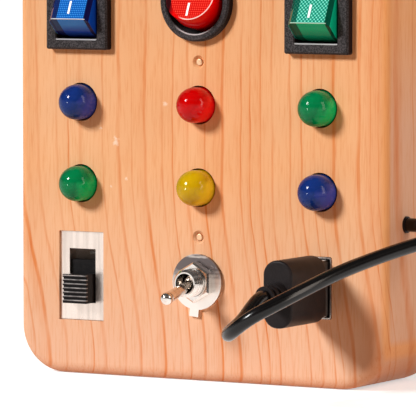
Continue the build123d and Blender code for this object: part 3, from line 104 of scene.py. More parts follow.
def add_node(
    tree: NodeTree, kind: str, inputs: dict[str | int, Any] | list[Any] | None = None, operation: str = "",
    stops: Stops = (), span: Pair | None = None, **settings: Any,
) -> Node:
    """Add a shader node with its settings and links. A mix node mixes colours.

    Args:
        tree: The tree that gets the node.
        kind: The node's type without "ShaderNode".
        inputs: A value, hex colour, node or socket for each input in use, by name or in order
            (for a mix its factor and its two colours).
        operation: What a math node does with its inputs.
        stops: Place and hex colour of each stop of a colour ramp.
        span: The values that a map range turns into its lowest and highest results.
        **settings: The node's own properties.

    Returns:
        The new node.
    """
    node = tree.nodes.new("ShaderNode" + kind)
    values = dict(enumerate(inputs) if isinstance(inputs, list) else inputs or {})
    if kind == "Mix":
        node.data_type = "RGBA"
    if operation:
        node.operation = operation
    if span:
        values["From Min"], values["From Max"] = span
    for name, value in settings.items():
        setattr(node, name, value)
    if stops:
        ramp = node.color_ramp
        while len(ramp.elements) > 1:
            ramp.elements.remove(ramp.elements[-1])
        ramp.elements[0].position = stops[0][0]
        ramp.elements[0].color = linear(stops[0][1])
        for place, colour in stops[1:]:
            ramp.elements.new(place).color = linear(colour)
    sockets = [socket for socket in node.inputs if socket.enabled]
    for key, value in values.items():
        socket = sockets[key] if isinstance(key, int) else next(s for s in sockets if s.name == key)
        if isinstance(value, Node):
            value = next(s for s in value.outputs if s.enabled)
        if isinstance(value, NodeSocket):
            tree.links.new(value, socket)
        else:
            socket.default_value = linear(value) if isinstance(value, str) else value
    return node


def select_only(piece: Object) -> None:
    """Deselect everything, then select one piece and make it active.

    Args:
        piece: The piece.
    """
    bpy.ops.object.select_all(action="DESELECT")
    piece.select_set(True)
    bpy.context.view_layer.objects.active = piece


class Grain(Enum):
    """How the surface of a metal piece was worked."""

    PLATED = "plated over a stamped sheet"
    BRUSHED = "brushed lengthwise"


class Lens(Enum):
    """Pattern moulded on the inside of a clear rocker."""

    DOTS = "square grid of dots"
    DIAMONDS = "diagonal grid"


@dataclass(frozen=True)
class Finish:
    """A surface named for the real one."""

    label: str

    def make(self) -> Material:
        """Build the material.

        Returns:
            A node material that reads Object coordinates only.
        """
        material = bpy.data.materials.new(self.label)
        material.use_nodes = True
        tree = material.node_tree
        tree.nodes.clear()
        add = partial(add_node, tree)
        add("OutputMaterial", {"Surface": self.shade(add)})
        return material

    def spot(self, add: Adder) -> Node:
        """Add the place on the piece, in millimetres."""
        place = add("TexCoord").outputs["Object"]
        return add("VectorMath", {0: place, "Scale": 1 / MM}, "SCALE")

    def shade(self, add: Adder) -> Node:
        """Add the shader of this surface.

        Args:
            add: Adds a node.

        Returns:
            The shader node.
        """
        raise NotImplementedError


@dataclass(frozen=True)
class OiledBlock(Finish):
    """Sanded and oiled block of softwood, its grain upright.

    Growth rings about a far pith cut the faces in thin orange lines, each with a soft band on one
    side. The lines are unevenly spaced and strong, and lean to the right low down. The heart side,
    at the right edge of the front, is darker and more orange. Fibres give a silky streak along
    the grain, and a few small scuffs show pale.
    """

    pale: str = "#F2BB8A"
    warm: str = "#EDB07C"
    line: str = "#DE8442"
    rosy: str = "#EBBFA2"
    heart: str = "#DD8A50"
    # The edge colour is a painted highlight along the rounded right edge of the front.
    edge: str = "#FBB269"
    scuff: str = "#FCE3CB"
    ring_mm: float = 2.7
    lean_mm: float = 4.5
    sway_mm: float = 3.0
    wobble_mm: float = 0.7
    uneven_mm: float = 7.0
    fibre_mm: float = 0.3
    lean_fade_mm: Pair = (44.0, 0.0)
    low_mm: Pair = (45.0, 5.0)
    side_mm: Pair = (45.1, 45.4)
    side_painted_light_mm: Pair = (78.0, 55.0)
    heart_mm: Pair = (36.0, 46.0)
    edge_highlight_mm: Pair = (43.0, 46.0)
    pith_mm: Triple = (-150.0, -140.0, 0.0)
    roughness: float = 0.6
    line_ramp: Stops = ((0.0, OFF), (0.78, OFF), (0.87, FULL), (0.94, FULL), (1.0, OFF))
    band_ramp: Stops = ((0.0, OFF), (0.3, OFF), (0.9, "#B0B0B0"), (1.0, OFF))
    heart_ramp: Stops = (
        (0.0, OFF), (0.25, "#101010"), (0.6, "#A0A0A0"), (0.93, "#707070"), (0.96, "#303030")
    )
    edge_highlight_ramp: Stops = ((0.0, OFF), (0.3, OFF), (0.55, "#C8C8C8"), (0.72, "#C8C8C8"), (0.82, OFF))
    scuffs_mm: tuple[Triple, ...] = (
        (-24.4, 53.8, 0.5), (-20.7, 50.9, 1.2), (-18.1, 43.1, 0.5), (-21.8, 41.2, 0.5), (-8.2, 59.4, 0.7)
    )

    def ring_place(self, add: Adder, spot: Node) -> Node:
        """Add the place counted in growth rings.

        Args:
            add: Adds a node.
            spot: The place in millimetres.

        Returns:
            A node whose whole part numbers the rings outwards from the pith.
        """
        from_pith = add("VectorMath", [spot, self.pith_mm], "SUBTRACT")
        level = add("VectorMath", [from_pith, (1.0, 1.0, 0.0)], "MULTIPLY")
        radius = add("VectorMath", [level], "LENGTH").outputs["Value"]
        height = add("SeparateXYZ", [spot]).outputs["Z"]
        lean = add(
            "MapRange", {"Value": height, "To Max": -self.lean_mm}, span=self.lean_fade_mm,
            interpolation_type="SMOOTHSTEP",
        )
        leaning = add("Math", [radius, lean], "ADD")
        broad = add("Mapping", {"Vector": spot, "Scale": (0.6, 0.6, 0.45)})
        sway = add("TexNoise", {"Vector": broad, "Scale": 0.035, "Detail": 1.0})
        swaying = add("Math", [sway, self.sway_mm, leaning], "MULTIPLY_ADD")
        close = add("Mapping", {"Vector": spot, "Scale": (1.0, 1.0, 0.3)})
        wobble = add("TexNoise", {"Vector": close, "Scale": 0.3, "Detail": 2.0})
        wobbling = add("Math", [wobble, self.wobble_mm, swaying], "MULTIPLY_ADD")
        bunch = add("TexNoise", {"W": wobbling, "Scale": 0.11, "Detail": 1.0}, noise_dimensions="1D")
        bunched = add("Math", [bunch, self.uneven_mm, wobbling], "MULTIPLY_ADD")
        return add("Math", [bunched, self.ring_mm], "DIVIDE")

    def ring_amount(self, add: Adder, spot: Node, long_place: Node) -> Node:
        """Add the strength of the ring lines.

        Args:
            add: Adds a node.
            spot: The place in millimetres.
            long_place: The place, drawn out along the grain.

        Returns:
            A node that is 0 between lines and up to 1 on a strong line.
        """
        ring = self.ring_place(add, spot)
        phase = add("Math", [ring], "FRACT")
        thin = add("ValToRGB", [phase], stops=self.line_ramp)
        soft = add("ValToRGB", [phase], stops=self.band_ramp)
        number = add("Math", [ring], "FLOOR")
        own = add("TexWhiteNoise", {"W": number}, noise_dimensions="1D").outputs["Value"]
        own_line = add("MapRange", {"Value": own, "To Min": 0.35, "To Max": 1.0})
        own_band = add("MapRange", {"Value": own, "From Min": 0.45, "To Min": 0.1, "To Max": 0.9})
        line = add("Math", [thin, own_line], "MULTIPLY")
        band = add("Math", [soft, own_band], "MULTIPLY")
        both = add("Math", [line, band], "MAXIMUM")
        patch = add("TexNoise", {"Vector": long_place, "Scale": 0.4, "Detail": 2.0})
        patchy = add("MapRange", {"Value": patch, "To Min": 0.35}, span=(0.3, 0.6))
        return add("Math", [both, patchy], "MULTIPLY")

    def scuffed(self, add: Adder, spot: Node) -> Node:
        """Add the scuffs on the front face.

        Args:
            add: Adds a node.
            spot: The place in millimetres.

        Returns:
            A node that is 1 in a scuff and 0 elsewhere.
        """
        ragged = add("TexNoise", {"Vector": spot, "Scale": 1.4, "Detail": 3.0})
        total: Node | None = None
        for x, z, reach in self.scuffs_mm:
            away = add("VectorMath", [spot, (x, FRONT / MM, z)], "DISTANCE").outputs["Value"]
            rough_away = add("Math", [ragged, 2.4 * reach, away], "MULTIPLY_ADD")
            here = add("MapRange", {"Value": rough_away, "To Max": 0.75}, span=(2.1 * reach, 1.5 * reach))
            total = here if total is None else add("Math", [total, here], "MAXIMUM")
        return total

    def zoned(self, add: Adder, spot: Node, early: Node) -> Node:
        """Colour the block's zones: rosy low down and, as painted light, higher up on the side; a painted
        orange highlight at the right edge.

        Args:
            add: Adds a node.
            spot: The place in millimetres.
            early: The colour of the rest.

        Returns:
            The wood's colour between its ring lines.
        """
        place = add("SeparateXYZ", [spot])
        across, height = place.outputs["X"], place.outputs["Z"]
        low = add("MapRange", {"Value": height, "To Max": 0.8}, span=self.low_mm)
        # Painted light: the side face, below its top, takes the paler rosy colour for the fill light that
        # falls on it.
        on_side = add("MapRange", [across], span=self.side_mm)
        below = add("MapRange", [height], span=self.side_painted_light_mm)
        side_painted_light = add("Math", [on_side, below], "MULTIPLY")
        rosy_share = add("Math", [low, side_painted_light], "MAXIMUM")
        rosy = add("Mix", [rosy_share, early, self.rosy])
        to_heart = add("MapRange", [across], span=self.heart_mm)
        heart_share = add("ValToRGB", [to_heart], stops=self.heart_ramp)
        hearty = add("Mix", [heart_share, rosy, self.heart])
        # Painted highlight: a bright orange band where the rounded right edge of the front catches the
        # light.
        to_edge_highlight = add("MapRange", [across], span=self.edge_highlight_mm)
        edge_highlight_share = add("ValToRGB", [to_edge_highlight], stops=self.edge_highlight_ramp)
        return add("Mix", [edge_highlight_share, hearty, self.edge])

    def shade(self, add: Adder) -> Node:
        """Add the wood shader.

        Args:
            add: Adds a node.

        Returns:
            The shader node.
        """
        spot = self.spot(add)
        long_place = add("Mapping", {"Vector": spot, "Scale": (1.0, 1.0, 0.12)})
        amount = self.ring_amount(add, spot, long_place)
        cloud = add("TexNoise", {"Vector": long_place, "Scale": 0.09, "Detail": 2.0})
        cloud_amount = add("MapRange", [cloud], span=(0.35, 0.65))
        early = add("Mix", [cloud_amount, self.pale, self.warm])
        zoned = self.zoned(add, spot, early)
        lined = add("Mix", [amount, zoned, self.line])
        fibre_place = add("Mapping", {"Vector": spot, "Scale": (1.0, 1.0, 0.05)})
        fibre = add(
            "TexNoise",
            {"Vector": fibre_place, "Scale": 1.0 / self.fibre_mm, "Detail": 4.0, "Roughness": 0.6},
        )
        fleck = add("ValToRGB", [fibre], stops=((0.30, "#EFC79C"), (0.5, "#FFFFFF")))
        streaked = add("Mix", [0.5, lined, fleck], blend_type="MULTIPLY")
        wear_and_glint = add("Mix", [self.scuffed(add, spot), streaked, self.scuff])
        bump = add("Bump", {"Height": fibre, "Strength": 0.25, "Distance": 0.00006})
        return add(
            "BsdfPrincipled",
            {
                "Base Color": wear_and_glint, "Roughness": self.roughness, "IOR": 1.48, "Specular IOR Level": 0.3,
                "Normal": bump,
            },
        )


@dataclass(frozen=True)
class ThinPly(Finish):
    """Sanded birch plywood: a pale face veneer with faint level grain."""

    face: str = "#E3BC8C"
    streak: str = "#CFA06C"

    def shade(self, add: Adder) -> Node:
        """Add the veneer shader.

        Args:
            add: Adds a node.

        Returns:
            The shader node.
        """
        spot = self.spot(add)
        along = add("Mapping", {"Vector": spot, "Scale": (0.05, 1.0, 1.0)})
        figure = add("TexNoise", {"Vector": along, "Scale": 0.45, "Detail": 5.0})
        colour = add("ValToRGB", [figure], stops=((0.35, self.streak), (0.6, self.face)))
        bump = add("Bump", {"Height": figure, "Strength": 0.2, "Distance": 0.0001})
        return add("BsdfPrincipled", {"Base Color": colour, "Roughness": 0.55, "Normal": bump})


@dataclass(frozen=True)
class MouldedPlastic(Finish):
    """Injection-moulded plastic: a spark-eroded tool leaves a fine even grain."""

    colour: str
    tint: str
    roughness: float = 0.45
    grain_mm: float = 0.22
    grain_depth_mm: float = 0.02
    level: float = 0.5

    def shade(self, add: Adder) -> Node:
        """Add the plastic shader.

        Args:
            add: Adds a node.

        Returns:
            The shader node.
        """
        spot = self.spot(add)
        grain = add("TexNoise", {"Vector": spot, "Scale": 1.0 / self.grain_mm, "Detail": 3.0})
        cloud = add("TexNoise", {"Vector": spot, "Scale": 0.25, "Detail": 2.0})
        mixed = add("Math", [grain, cloud], "MULTIPLY")
        colour = add("ValToRGB", [mixed], stops=((0.15, self.colour), (0.4, self.tint)))
        bump = add("Bump", {"Height": grain, "Strength": 0.5, "Distance": self.grain_depth_mm * MM})
        return add(
            "BsdfPrincipled",
            {
                "Base Color": colour, "Roughness": self.roughness, "IOR": 1.5,
                "Specular IOR Level": self.level, "Normal": bump,
            },
        )


@dataclass(frozen=True)
class NylonHousing(Finish):
    """Black nylon, moulded in a spark-eroded tool.

    Its grain scatters light in pale specks over the front. The sides are painted darker, as painted shade,
    and an edge that faces up and out is a painted highlight, a pale line.
    """

    colour: str = "#282627"
    speck: str = "#4E4A4C"
    # The side colour is painted shade for the faces that look to the right.
    side: str = "#1A0F0E"
    # The lip colour is a painted highlight on edges that face up and out.
    lip: str = "#B9B7B8"
    grain_mm: float = 0.3
    grain_depth_mm: float = 0.06
    roughness: float = 0.6

    def shade(self, add: Adder) -> Node:
        """Add the nylon shader.

        Args:
            add: Adds a node.

        Returns:
            The shader node.
        """
        spot = self.spot(add)
        grain = add("TexNoise", {"Vector": spot, "Scale": 1.0 / self.grain_mm, "Detail": 3.0})
        specked = add("ValToRGB", [grain], stops=((0.42, self.colour), (0.64, self.speck)))
        facing = add("SeparateXYZ", [add("TexCoord").outputs["Normal"]])
        # Painted shade: faces that look to the right are darker.
        on_side = add("MapRange", [facing.outputs["X"]], span=(0.6, 0.9))
        sided = add("Mix", [on_side, specked, self.side])
        # Painted highlight: a pale line on edges that face up and out.
        upward = add("MapRange", [facing.outputs["Z"]], span=(0.5, 0.65))
        outward = add("MapRange", [facing.outputs["Y"]], span=(-0.5, -0.65))
        on_lip_highlight = add("Math", [upward, outward], "MULTIPLY")
        lip_highlighted = add("Mix", [on_lip_highlight, sided, self.lip])
        bump = add("Bump", {"Height": grain, "Strength": 0.5, "Distance": self.grain_depth_mm * MM})
        return add(
            "BsdfPrincipled",
            {
                "Base Color": lip_highlighted, "Roughness": self.roughness, "IOR": 1.53, "Specular IOR Level": 0.1,
                "Normal": bump,
            },
        )


@dataclass(frozen=True)
class RibbedKnob(Finish):
    """Black ABS with level finger ribs; each rib's upper edge is a bright line of painted highlight, and
    the sides carry painted shade.
    """

    colour: str = "#0D0B0C"
    tint: str = "#191617"
    # The side colour is painted shade for the faces that look to the right.
    side: str = "#100807"
    glint: str = "#B6B3B2"
    rib_mm: float = 0.9
    first_rib_mm: float = 16.15
    rib_ramp: Stops = ((0.0, OFF), (0.06, OFF), (0.16, FULL), (0.26, FULL), (0.36, OFF))
    face_mm: float = -16.0
    roughness: float = 0.4

    def shade(self, add: Adder) -> Node:
        """Add the knob shader.

        Args:
            add: Adds a node.

        Returns:
            The shader node.
        """
        spot = self.spot(add)
        place = add("SeparateXYZ", [spot])
        cloud = add("TexNoise", {"Vector": spot, "Scale": 1.2, "Detail": 3.0})
        black = add("ValToRGB", [cloud], stops=((0.35, self.colour), (0.7, self.tint)))
        facing = add("SeparateXYZ", [add("TexCoord").outputs["Normal"]])
        # Painted shade: faces that look to the right are darker.
        on_side = add("MapRange", [facing.outputs["X"]], span=(0.6, 0.9))
        sided = add("Mix", [on_side, black, self.side])
        # Painted highlight: a bright line along each rib's upper edge on the front face, broken into
        # patches.
        from_first = add("Math", [place.outputs["Z"], self.first_rib_mm], "SUBTRACT")
        ribs = add("Math", [from_first, self.rib_mm], "DIVIDE")
        phase = add("Math", [ribs], "FRACT")
        line = add("ValToRGB", [phase], stops=self.rib_ramp)
        on_face = add("MapRange", [place.outputs["Y"]], span=(self.face_mm, self.face_mm - 0.3))
        along = add("Mapping", {"Vector": spot, "Scale": (0.5, 0.0, 2.0)})
        glint_patch_noise = add("TexNoise", {"Vector": along, "Scale": 1.0, "Detail": 2.0})
        wear_and_glint = add("MapRange", {"Value": glint_patch_noise, "To Min": 0.25}, span=(0.3, 0.65))
        strip = add("Math", [line, on_face], "MULTIPLY")
        strength = add("Math", [strip, wear_and_glint], "MULTIPLY")
        lined = add("Mix", [strength, sided, self.glint])
        bump = add("Bump", {"Height": cloud, "Strength": 0.2, "Distance": 0.00002})
        return add(
            "BsdfPrincipled",
            {
                "Base Color": lined, "Roughness": self.roughness, "IOR": 1.54, "Specular IOR Level": 0.1,
                "Normal": bump,
            },
        )


@dataclass(frozen=True)
class ClearRocker(Finish):
    """Clear coloured polycarbonate rocker with a lens pattern under its face.

    Light spreads inside it, so the whole body glows. Its left rim and its bevels carry painted shade, dark
    for the inside seen through them, and the edge where face and flank meet carries a painted highlight, a
    bright line.
    """

    face: str = "#0458BA"
    spark: str = "#3FA0ED"
    flank: str = "#2C86E6"
    foot: str = "#1440AE"
    side: str = "#0346B4"
    # The rim colour is painted shade, dark for the inside seen through the clear rim and bevels.
    rim: str = "#12124A"
    # The edge colour is a painted highlight on the line where face and flank meet.
    edge: str = "#DDEBFA"
    lens: Lens = Lens.DOTS
    lens_mm: float = 0.46
    pivot_x_mm: float = 0.0
    lit_half_mm: float = 4.0
    rim_mm: float = 1.35
    round_mm: float = 0.0
    aside_mm: float = 0.45
    half_mm: float = 4.9
    fall_mm: Pair = (6.6, 2.9)
    shade_mm: Pair = (-3.2, -4.6)
    glint_mm: Pair = (2.5, 4.5)

    def shade(self, add: Adder) -> Node:
        """Add the rocker shader, worked out in the rocker's own upright frame.

        Args:
            add: Adds a node.

        Returns:
            The shader node.
        """
        spot = self.spot(add)
        pivot = (self.pivot_x_mm, PIVOT_Y / MM, TOP_ROW / MM)
        upright = add(
            "VectorRotate", {"Vector": spot, "Center": pivot, "Angle": math.radians(TILT)},
            rotation_type="X_AXIS",
        )
        local = add("VectorMath", [upright, pivot], "SUBTRACT")
        parts = add("SeparateXYZ", [local])
        across, up = parts.outputs["X"], parts.outputs["Z"]
        out = add("Math", [parts.outputs["Y"], -1.0], "MULTIPLY")
        pattern = self.pattern(add, across, up)
        face = add("Mix", [pattern, self.face, self.spark])
        fall = add("MapRange", [out], span=self.fall_mm)
        flank = add("ValToRGB", [fall], stops=((0.0, self.flank), (0.45, self.flank), (1.0, self.foot)))
        if self.round_mm:
            colour = self.round_body(add, across, up, face, flank)
        else:
            colour = self.square_body(add, parts, face, flank)
        return add(
            "BsdfPrincipled",
            {
                "Base Color": colour, "Roughness": 0.03, "IOR": 1.4, "Specular IOR Level": 0.15,
                "Subsurface Weight": 0.4,
            } | SPREAD,
        )

    def square_body(self, add: Adder, parts: Node, face: Node, flank: Node) -> Node:
        """Add the colours of a rocker with straight sides.

        Args:
            add: Adds a node.
            parts: The place in the rocker's frame, split in three.
            face: The face's colour.
            flank: The flanks' colour.

        Returns:
            The node with the whole rocker's colour.
        """
        across, up = parts.outputs["X"], parts.outputs["Z"]
        out = add("Math", [parts.outputs["Y"], -1.0], "MULTIPLY")
        span = add("Math", [across], "ABSOLUTE")
        reach = add("Math", [up], "ABSOLUTE")
        plane = add("Math", [reach, -SLOPE, out], "MULTIPLY_ADD")
        past_ridge = add("MapRange", [plane], span=(VALLEY_MM - 0.04, VALLEY_MM - 0.1))
        top = add("Mix", [past_ridge, face, flank])
        # Painted shade: a dark band along the left rim and over both bevels, for the dark inside seen
        # through them.
        left = self.rim_mm - self.lit_half_mm - 0.15
        on_rim_shade = add("MapRange", {"Value": across, "To Max": 0.9}, span=(left + 0.1, left))
        half = self.lit_half_mm
        on_bevel = add("MapRange", [span], span=(half - 0.05, half + 0.1))
        dark = add("Math", [on_rim_shade, on_bevel], "MAXIMUM")
        rim_painted_shade = add("Mix", [dark, top, self.rim])
        on_side = add("MapRange", [span], span=(self.half_mm, self.half_mm + 0.04))
        lower = add("MapRange", [out], span=(1.5, 7.0))
        side = add("Mix", [lower, self.foot, self.side])
        sided = add("Mix", [on_side, rim_painted_shade, side])
        # Painted highlight: a bright line along the ridge where face and flank meet.
        from_ridge = add("Math", [reach, RIDGE_MM, 0.1], "COMPARE")
        high = add("Math", [out, VALLEY_MM + 0.5], "GREATER_THAN")
        near = add("Math", [span, half + 0.25], "LESS_THAN")
        ridge = add("Math", [from_ridge, high], "MULTIPLY")
        on_edge_highlight = add("Math", [ridge, near], "MULTIPLY")
        return add("Mix", [on_edge_highlight, sided, self.edge])

    def round_body(self, add: Adder, across: NodeSocket, up: NodeSocket, face: Node, flank: Node) -> Node:
        """Add the colours of the round rocker.

        Args:
            add: Adds a node.
            across: Place across the rocker.
            up: Place along its face.
            face: The face's colour.
            flank: The body's colour.

        Returns:
            The node with the whole rocker's colour.
        """
        aside = add("Math", [across, self.aside_mm], "SUBTRACT")
        flat_place = add("CombineXYZ", {"X": aside, "Y": up})
        radius = add("VectorMath", [flat_place], "LENGTH").outputs["Value"]
        outside = add("MapRange", [radius], span=(self.round_mm, self.round_mm + 0.1))
        body = add("Mix", [outside, face, flank])
        # Painted shade: outside the round face the body is dark on the left, for the dark inside seen
        # through it.
        left = add("MapRange", [across], span=self.shade_mm)
        shaded = add("Math", [outside, left], "MULTIPLY")
        rim_painted_shade = add("Mix", [shaded, body, self.rim])
        # Painted highlight: a bright ring round the round face, on its lower right.
        on_ring = add("Math", [radius, self.round_mm + 0.12, 0.12], "COMPARE")
        lean = add("Math", [across, up], "SUBTRACT")
        lit_part = add("MapRange", {"Value": lean, "To Max": 0.85}, span=self.glint_mm)
        on_edge_highlight = add("Math", [on_ring, lit_part], "MULTIPLY")
        return add("Mix", [on_edge_highlight, rim_painted_shade, self.edge])

    def pattern(self, add: Adder, across: NodeSocket, up: NodeSocket) -> Node:
        """Add the lens pattern.

        Args:
            add: Adds a node.
            across: Place across the rocker.
            up: Place along its face.

        Returns:
            A node that is 1 on a spark of the pattern and 0 between them.
        """
        first, second = across, up
        if self.lens is Lens.DIAMONDS:
            first = add("Math", [across, up], "ADD").outputs[0]
            second = add("Math", [across, up], "SUBTRACT").outputs[0]
        turns = 2 * math.pi / self.lens_mm
        waves = []
        for place in (first, second):
            angle = add("Math", [place, turns], "MULTIPLY")
            waves.append(add("Math", [angle], "SINE"))
        both = add("Math", [waves[0], waves[1]], "ADD")
        return add("MapRange", [both], span=(-0.2, 1.6))


@dataclass(frozen=True)
class LampEpoxy(Finish):
    """Tinted epoxy of a round-nosed lamp.

    Light from the upper left passes through and gathers in the far side, so the lower right glows
    while the near side stays deep.
    """

    deep: str
    colour: str
    glow: str
    centre_mm: Pair
    reach_mm: float = 3.85
    far_side: Pair = (0.78, -0.38)

    def shade(self, add: Adder) -> Node:
        """Add the epoxy shader.

        Args:
            add: Adds a node.

        Returns:
            The shader node.
        """
        spot = self.spot(add)
        centre = (self.centre_mm[0], 0.0, self.centre_mm[1])
        from_centre = add("VectorMath", [spot, centre], "SUBTRACT")
        toward = (self.far_side[0] / self.reach_mm, 0.0, self.far_side[1] / self.reach_mm)
        gathered = add("VectorMath", [from_centre, toward], "DOT_PRODUCT").outputs["Value"]
        haze = add("TexNoise", {"Vector": spot, "Scale": 0.5, "Detail": 1.0})
        hazy = add("Math", [haze, 0.5, gathered], "MULTIPLY_ADD")
        depth = add("MapRange", [hazy], span=(-0.55, 1.05))
        colour = add(
            "ValToRGB", [depth],
            stops=((0.1, self.deep), (0.45, self.colour), (0.75, self.colour), (0.95, self.glow)),
        )
        return add(
            "BsdfPrincipled",
            {
                "Base Color": colour, "Roughness": 0.07, "IOR": 1.53, "Specular IOR Level": 0.14,
                "Subsurface Weight": 0.3,
            } | SPREAD,
        )


@dataclass(frozen=True)
class BareMetal(Finish):
    """Metal with a thin bright plating or none, marked by how it was worked."""

    colour: str
    shade_colour: str
    roughness: float
    grain: Grain = Grain.PLATED

    def shade(self, add: Adder) -> Node:
        """Add the metal shader.

        Args:
            add: Adds a node.

        Returns:
            The shader node.
        """
        spot = self.spot(add)
        stretch = (1.0, 1.0, 0.05) if self.grain is Grain.BRUSHED else (1.0, 1.0, 1.0)
        place = add("Mapping", {"Vector": spot, "Scale": stretch})
        stain = add("TexNoise", {"Vector": place, "Scale": 0.9, "Detail": 4.0})
        colour = add("ValToRGB", [stain], stops=((0.3, self.shade_colour), (0.6, self.colour)))
        fine = add("TexNoise", {"Vector": place, "Scale": 7.0, "Detail": 2.0})
        bump = add("Bump", {"Height": fine, "Strength": 0.4, "Distance": 0.000006})
        rough = add(
            "MapRange", {"Value": fine, "To Min": self.roughness * 0.7, "To Max": self.roughness * 1.3}
        )
        return add(
            "BsdfPrincipled", {"Base Color": colour, "Metallic": 1.0, "Roughness": rough, "Normal": bump}
        )


@dataclass(frozen=True)
class DishedWasher(Finish):
    """Bright-plated washer, pressed a little hollow and scratched by the nut.

    Its upper part mirrors the dark of the room and its lower part the pale table.
    """

    bright: str = "#EDE4DC"
    mid: str = "#C9BEB7"
    dark: str = "#6A6160"
    centre_mm: float = 21.5
    reach_mm: float = 6.0
    streak_mm: float = 3.5

    def shade(self, add: Adder) -> Node:
        """Add the washer shader.

        Args:
            add: Adds a node.

        Returns:
            The shader node.
        """
        spot = self.spot(add)
        height = add("SeparateXYZ", [spot]).outputs["Z"]
        streak_place = add("Mapping", {"Vector": spot, "Scale": (0.25, 1.0, 1.2)})
        streak = add("TexNoise", {"Vector": streak_place, "Scale": 1.3, "Detail": 4.0})
        uneven = add("Math", [streak, self.streak_mm, height], "MULTIPLY_ADD")
        middle = self.centre_mm + self.streak_mm / 2
        span = (middle - self.reach_mm, middle + self.reach_mm)
        share = add("MapRange", [uneven], span=span)
        colour = add(
            "ValToRGB", [share],
            stops=(
                (0.3, self.bright), (0.55, self.mid), (0.72, self.dark), (0.93, self.dark), (1.0, self.mid)
            ),
        )
        bump = add("Bump", {"Height": streak, "Strength": 0.3, "Distance": 0.00001})
        return add(
            "BsdfPrincipled", {"Base Color": colour, "Metallic": 1.0, "Roughness": 0.28, "Normal": bump}
        )


@dataclass(frozen=True)
class PolymerSheath(Finish):
    """Soft extruded sheath of a cord or wire: smooth, with slight waves where it was drawn."""

    colour: str = "#080707"
    tint: str = "#100E0F"
    roughness: float = 0.2

    def shade(self, add: Adder) -> Node:
        """Add the sheath shader.

        Args:
            add: Adds a node.

        Returns:
            The shader node.
        """
        spot = self.spot(add)
        wave = add("TexNoise", {"Vector": spot, "Scale": 0.5, "Detail": 2.0})
        colour = add("ValToRGB", [wave], stops=((0.35, self.colour), (0.7, self.tint)))
        fine = add("TexNoise", {"Vector": spot, "Scale": 2.5, "Detail": 2.0})
        bump = add("Bump", {"Height": fine, "Strength": 0.2, "Distance": 0.00002})
        return add(
            "BsdfPrincipled",
            {
                "Base Color": colour, "Roughness": self.roughness, "IOR": 1.52, "Specular IOR Level": 0.3,
                "Normal": bump,
            },
        )


@dataclass(frozen=True)
class BareLaminate(Finish):
    """Bare glass-cloth laminate: a faint square weave under resin."""

    colour: str = "#B59A5C"
    thread: str = "#C9B177"
    weave_mm: float = 0.5

    def shade(self, add: Adder) -> Node:
        """Add the laminate shader.

        Args:
            add: Adds a node.

        Returns:
            The shader node.
        """
        spot = self.spot(add)
        weave = add(
            "TexChecker",
            {"Vector": spot, "Color1": self.colour, "Color2": self.thread, "Scale": 1.0 / self.weave_mm},
        )
        bump = add("Bump", {"Height": weave.outputs["Fac"], "Strength": 0.1, "Distance": 0.00002})
        return add("BsdfPrincipled", {"Base Color": weave, "Roughness": 0.4, "Normal": bump})


@dataclass(frozen=True)
class CellSleeve(Finish):
    """Shrunk sleeve of a dry cell: a plain green body and a copper-coloured end band."""

    body: str = "#1F5A33"
    band: str = "#B5713A"
    half_mm: float = 26.0

    def shade(self, add: Adder) -> Node:
        """Add the sleeve shader.

        Args:
            add: Adds a node.

        Returns:
            The shader node.
        """
        spot = self.spot(add)
        across = add("SeparateXYZ", [spot]).outputs["X"]
        colour = add(
            "ValToRGB", [add("MapRange", [across], span=(-self.half_mm, self.half_mm))],
            stops=(
                (0.0, self.band), (0.2, self.band), (0.22, self.body), (0.8, self.body), (0.82, self.band)
            ),
        )
        crease = add("TexNoise", {"Vector": spot, "Scale": 0.6, "Detail": 3.0})
        bump = add("Bump", {"Height": crease, "Strength": 0.2, "Distance": 0.00005})
        return add("BsdfPrincipled", {"Base Color": colour, "Roughness": 0.25, "Normal": bump})


@dataclass(frozen=True)
class BackdropPaper(Finish):
    """Matte white paper under and behind the board. Its bounce on the wood is dimmer and warm."""

    colour: str = "#FFFFFF"
    bounce: str = "#D8B39B"

    def shade(self, add: Adder) -> Node:
        """Add the paper shader: full white to the camera and to reflections, but for shadows.

        Args:
            add: Adds a node.

        Returns:
            The shader node.
        """
        paper = add("BsdfDiffuse", {"Color": self.colour})
        bounced = add("BsdfDiffuse", {"Color": self.bounce})
        glow = add("Emission", {"Color": self.colour, "Strength": 0.5})
        lit = add("AddShader", [paper, glow])
        rays = add("LightPath")
        seen = add("Math", [rays.outputs["Is Camera Ray"], rays.outputs["Is Glossy Ray"]], "MAXIMUM")
        return add("MixShader", [seen, bounced, lit])


WOOD = OiledBlock("oiled_block")
PLY = ThinPly("birch_ply")
HOUSING = NylonHousing("nylon_housing")
KNOB = RibbedKnob("abs_knob")
# Painted light: the slide switch's base lies in the slot's deep shade, so it gets a pale grey far above
# its own dark grey.
PAINTED_LIGHT_BASE = MouldedPlastic("nylon_base_painted_light", colour="#BDB8B4", tint="#D2CDC9", roughness=0.6)
GRIP = MouldedPlastic(
    "pvc_grip", colour="#1C1819", tint="#272223", roughness=0.42, grain_depth_mm=0.01, level=0.12
)
BLACK_ABS = MouldedPlastic(
    "abs_tongue", colour="#141213", tint="#1F1C1D", roughness=0.38, grain_depth_mm=0.006
)
TRAY = MouldedPlastic("abs_tray", colour="#1E1C1C", tint="#282525", roughness=0.5)
WHITE = MouldedPlastic("acetal_white", colour="#D9D6CF", tint="#E6E3DC", roughness=0.4)
PHENOLIC = MouldedPlastic("phenolic_red", colour="#74170F", tint="#86241A", roughness=0.45)
MARK = MouldedPlastic(
    "hot_stamped_mark", colour="#EDEFF2", tint="#FFFFFF", roughness=0.35, grain_depth_mm=0.002
)
NICKEL = BareMetal(
    "nickel_on_steel", roughness=0.3, grain=Grain.BRUSHED, colour="#EADCD2", shade_colour="#D4C6BC"
)
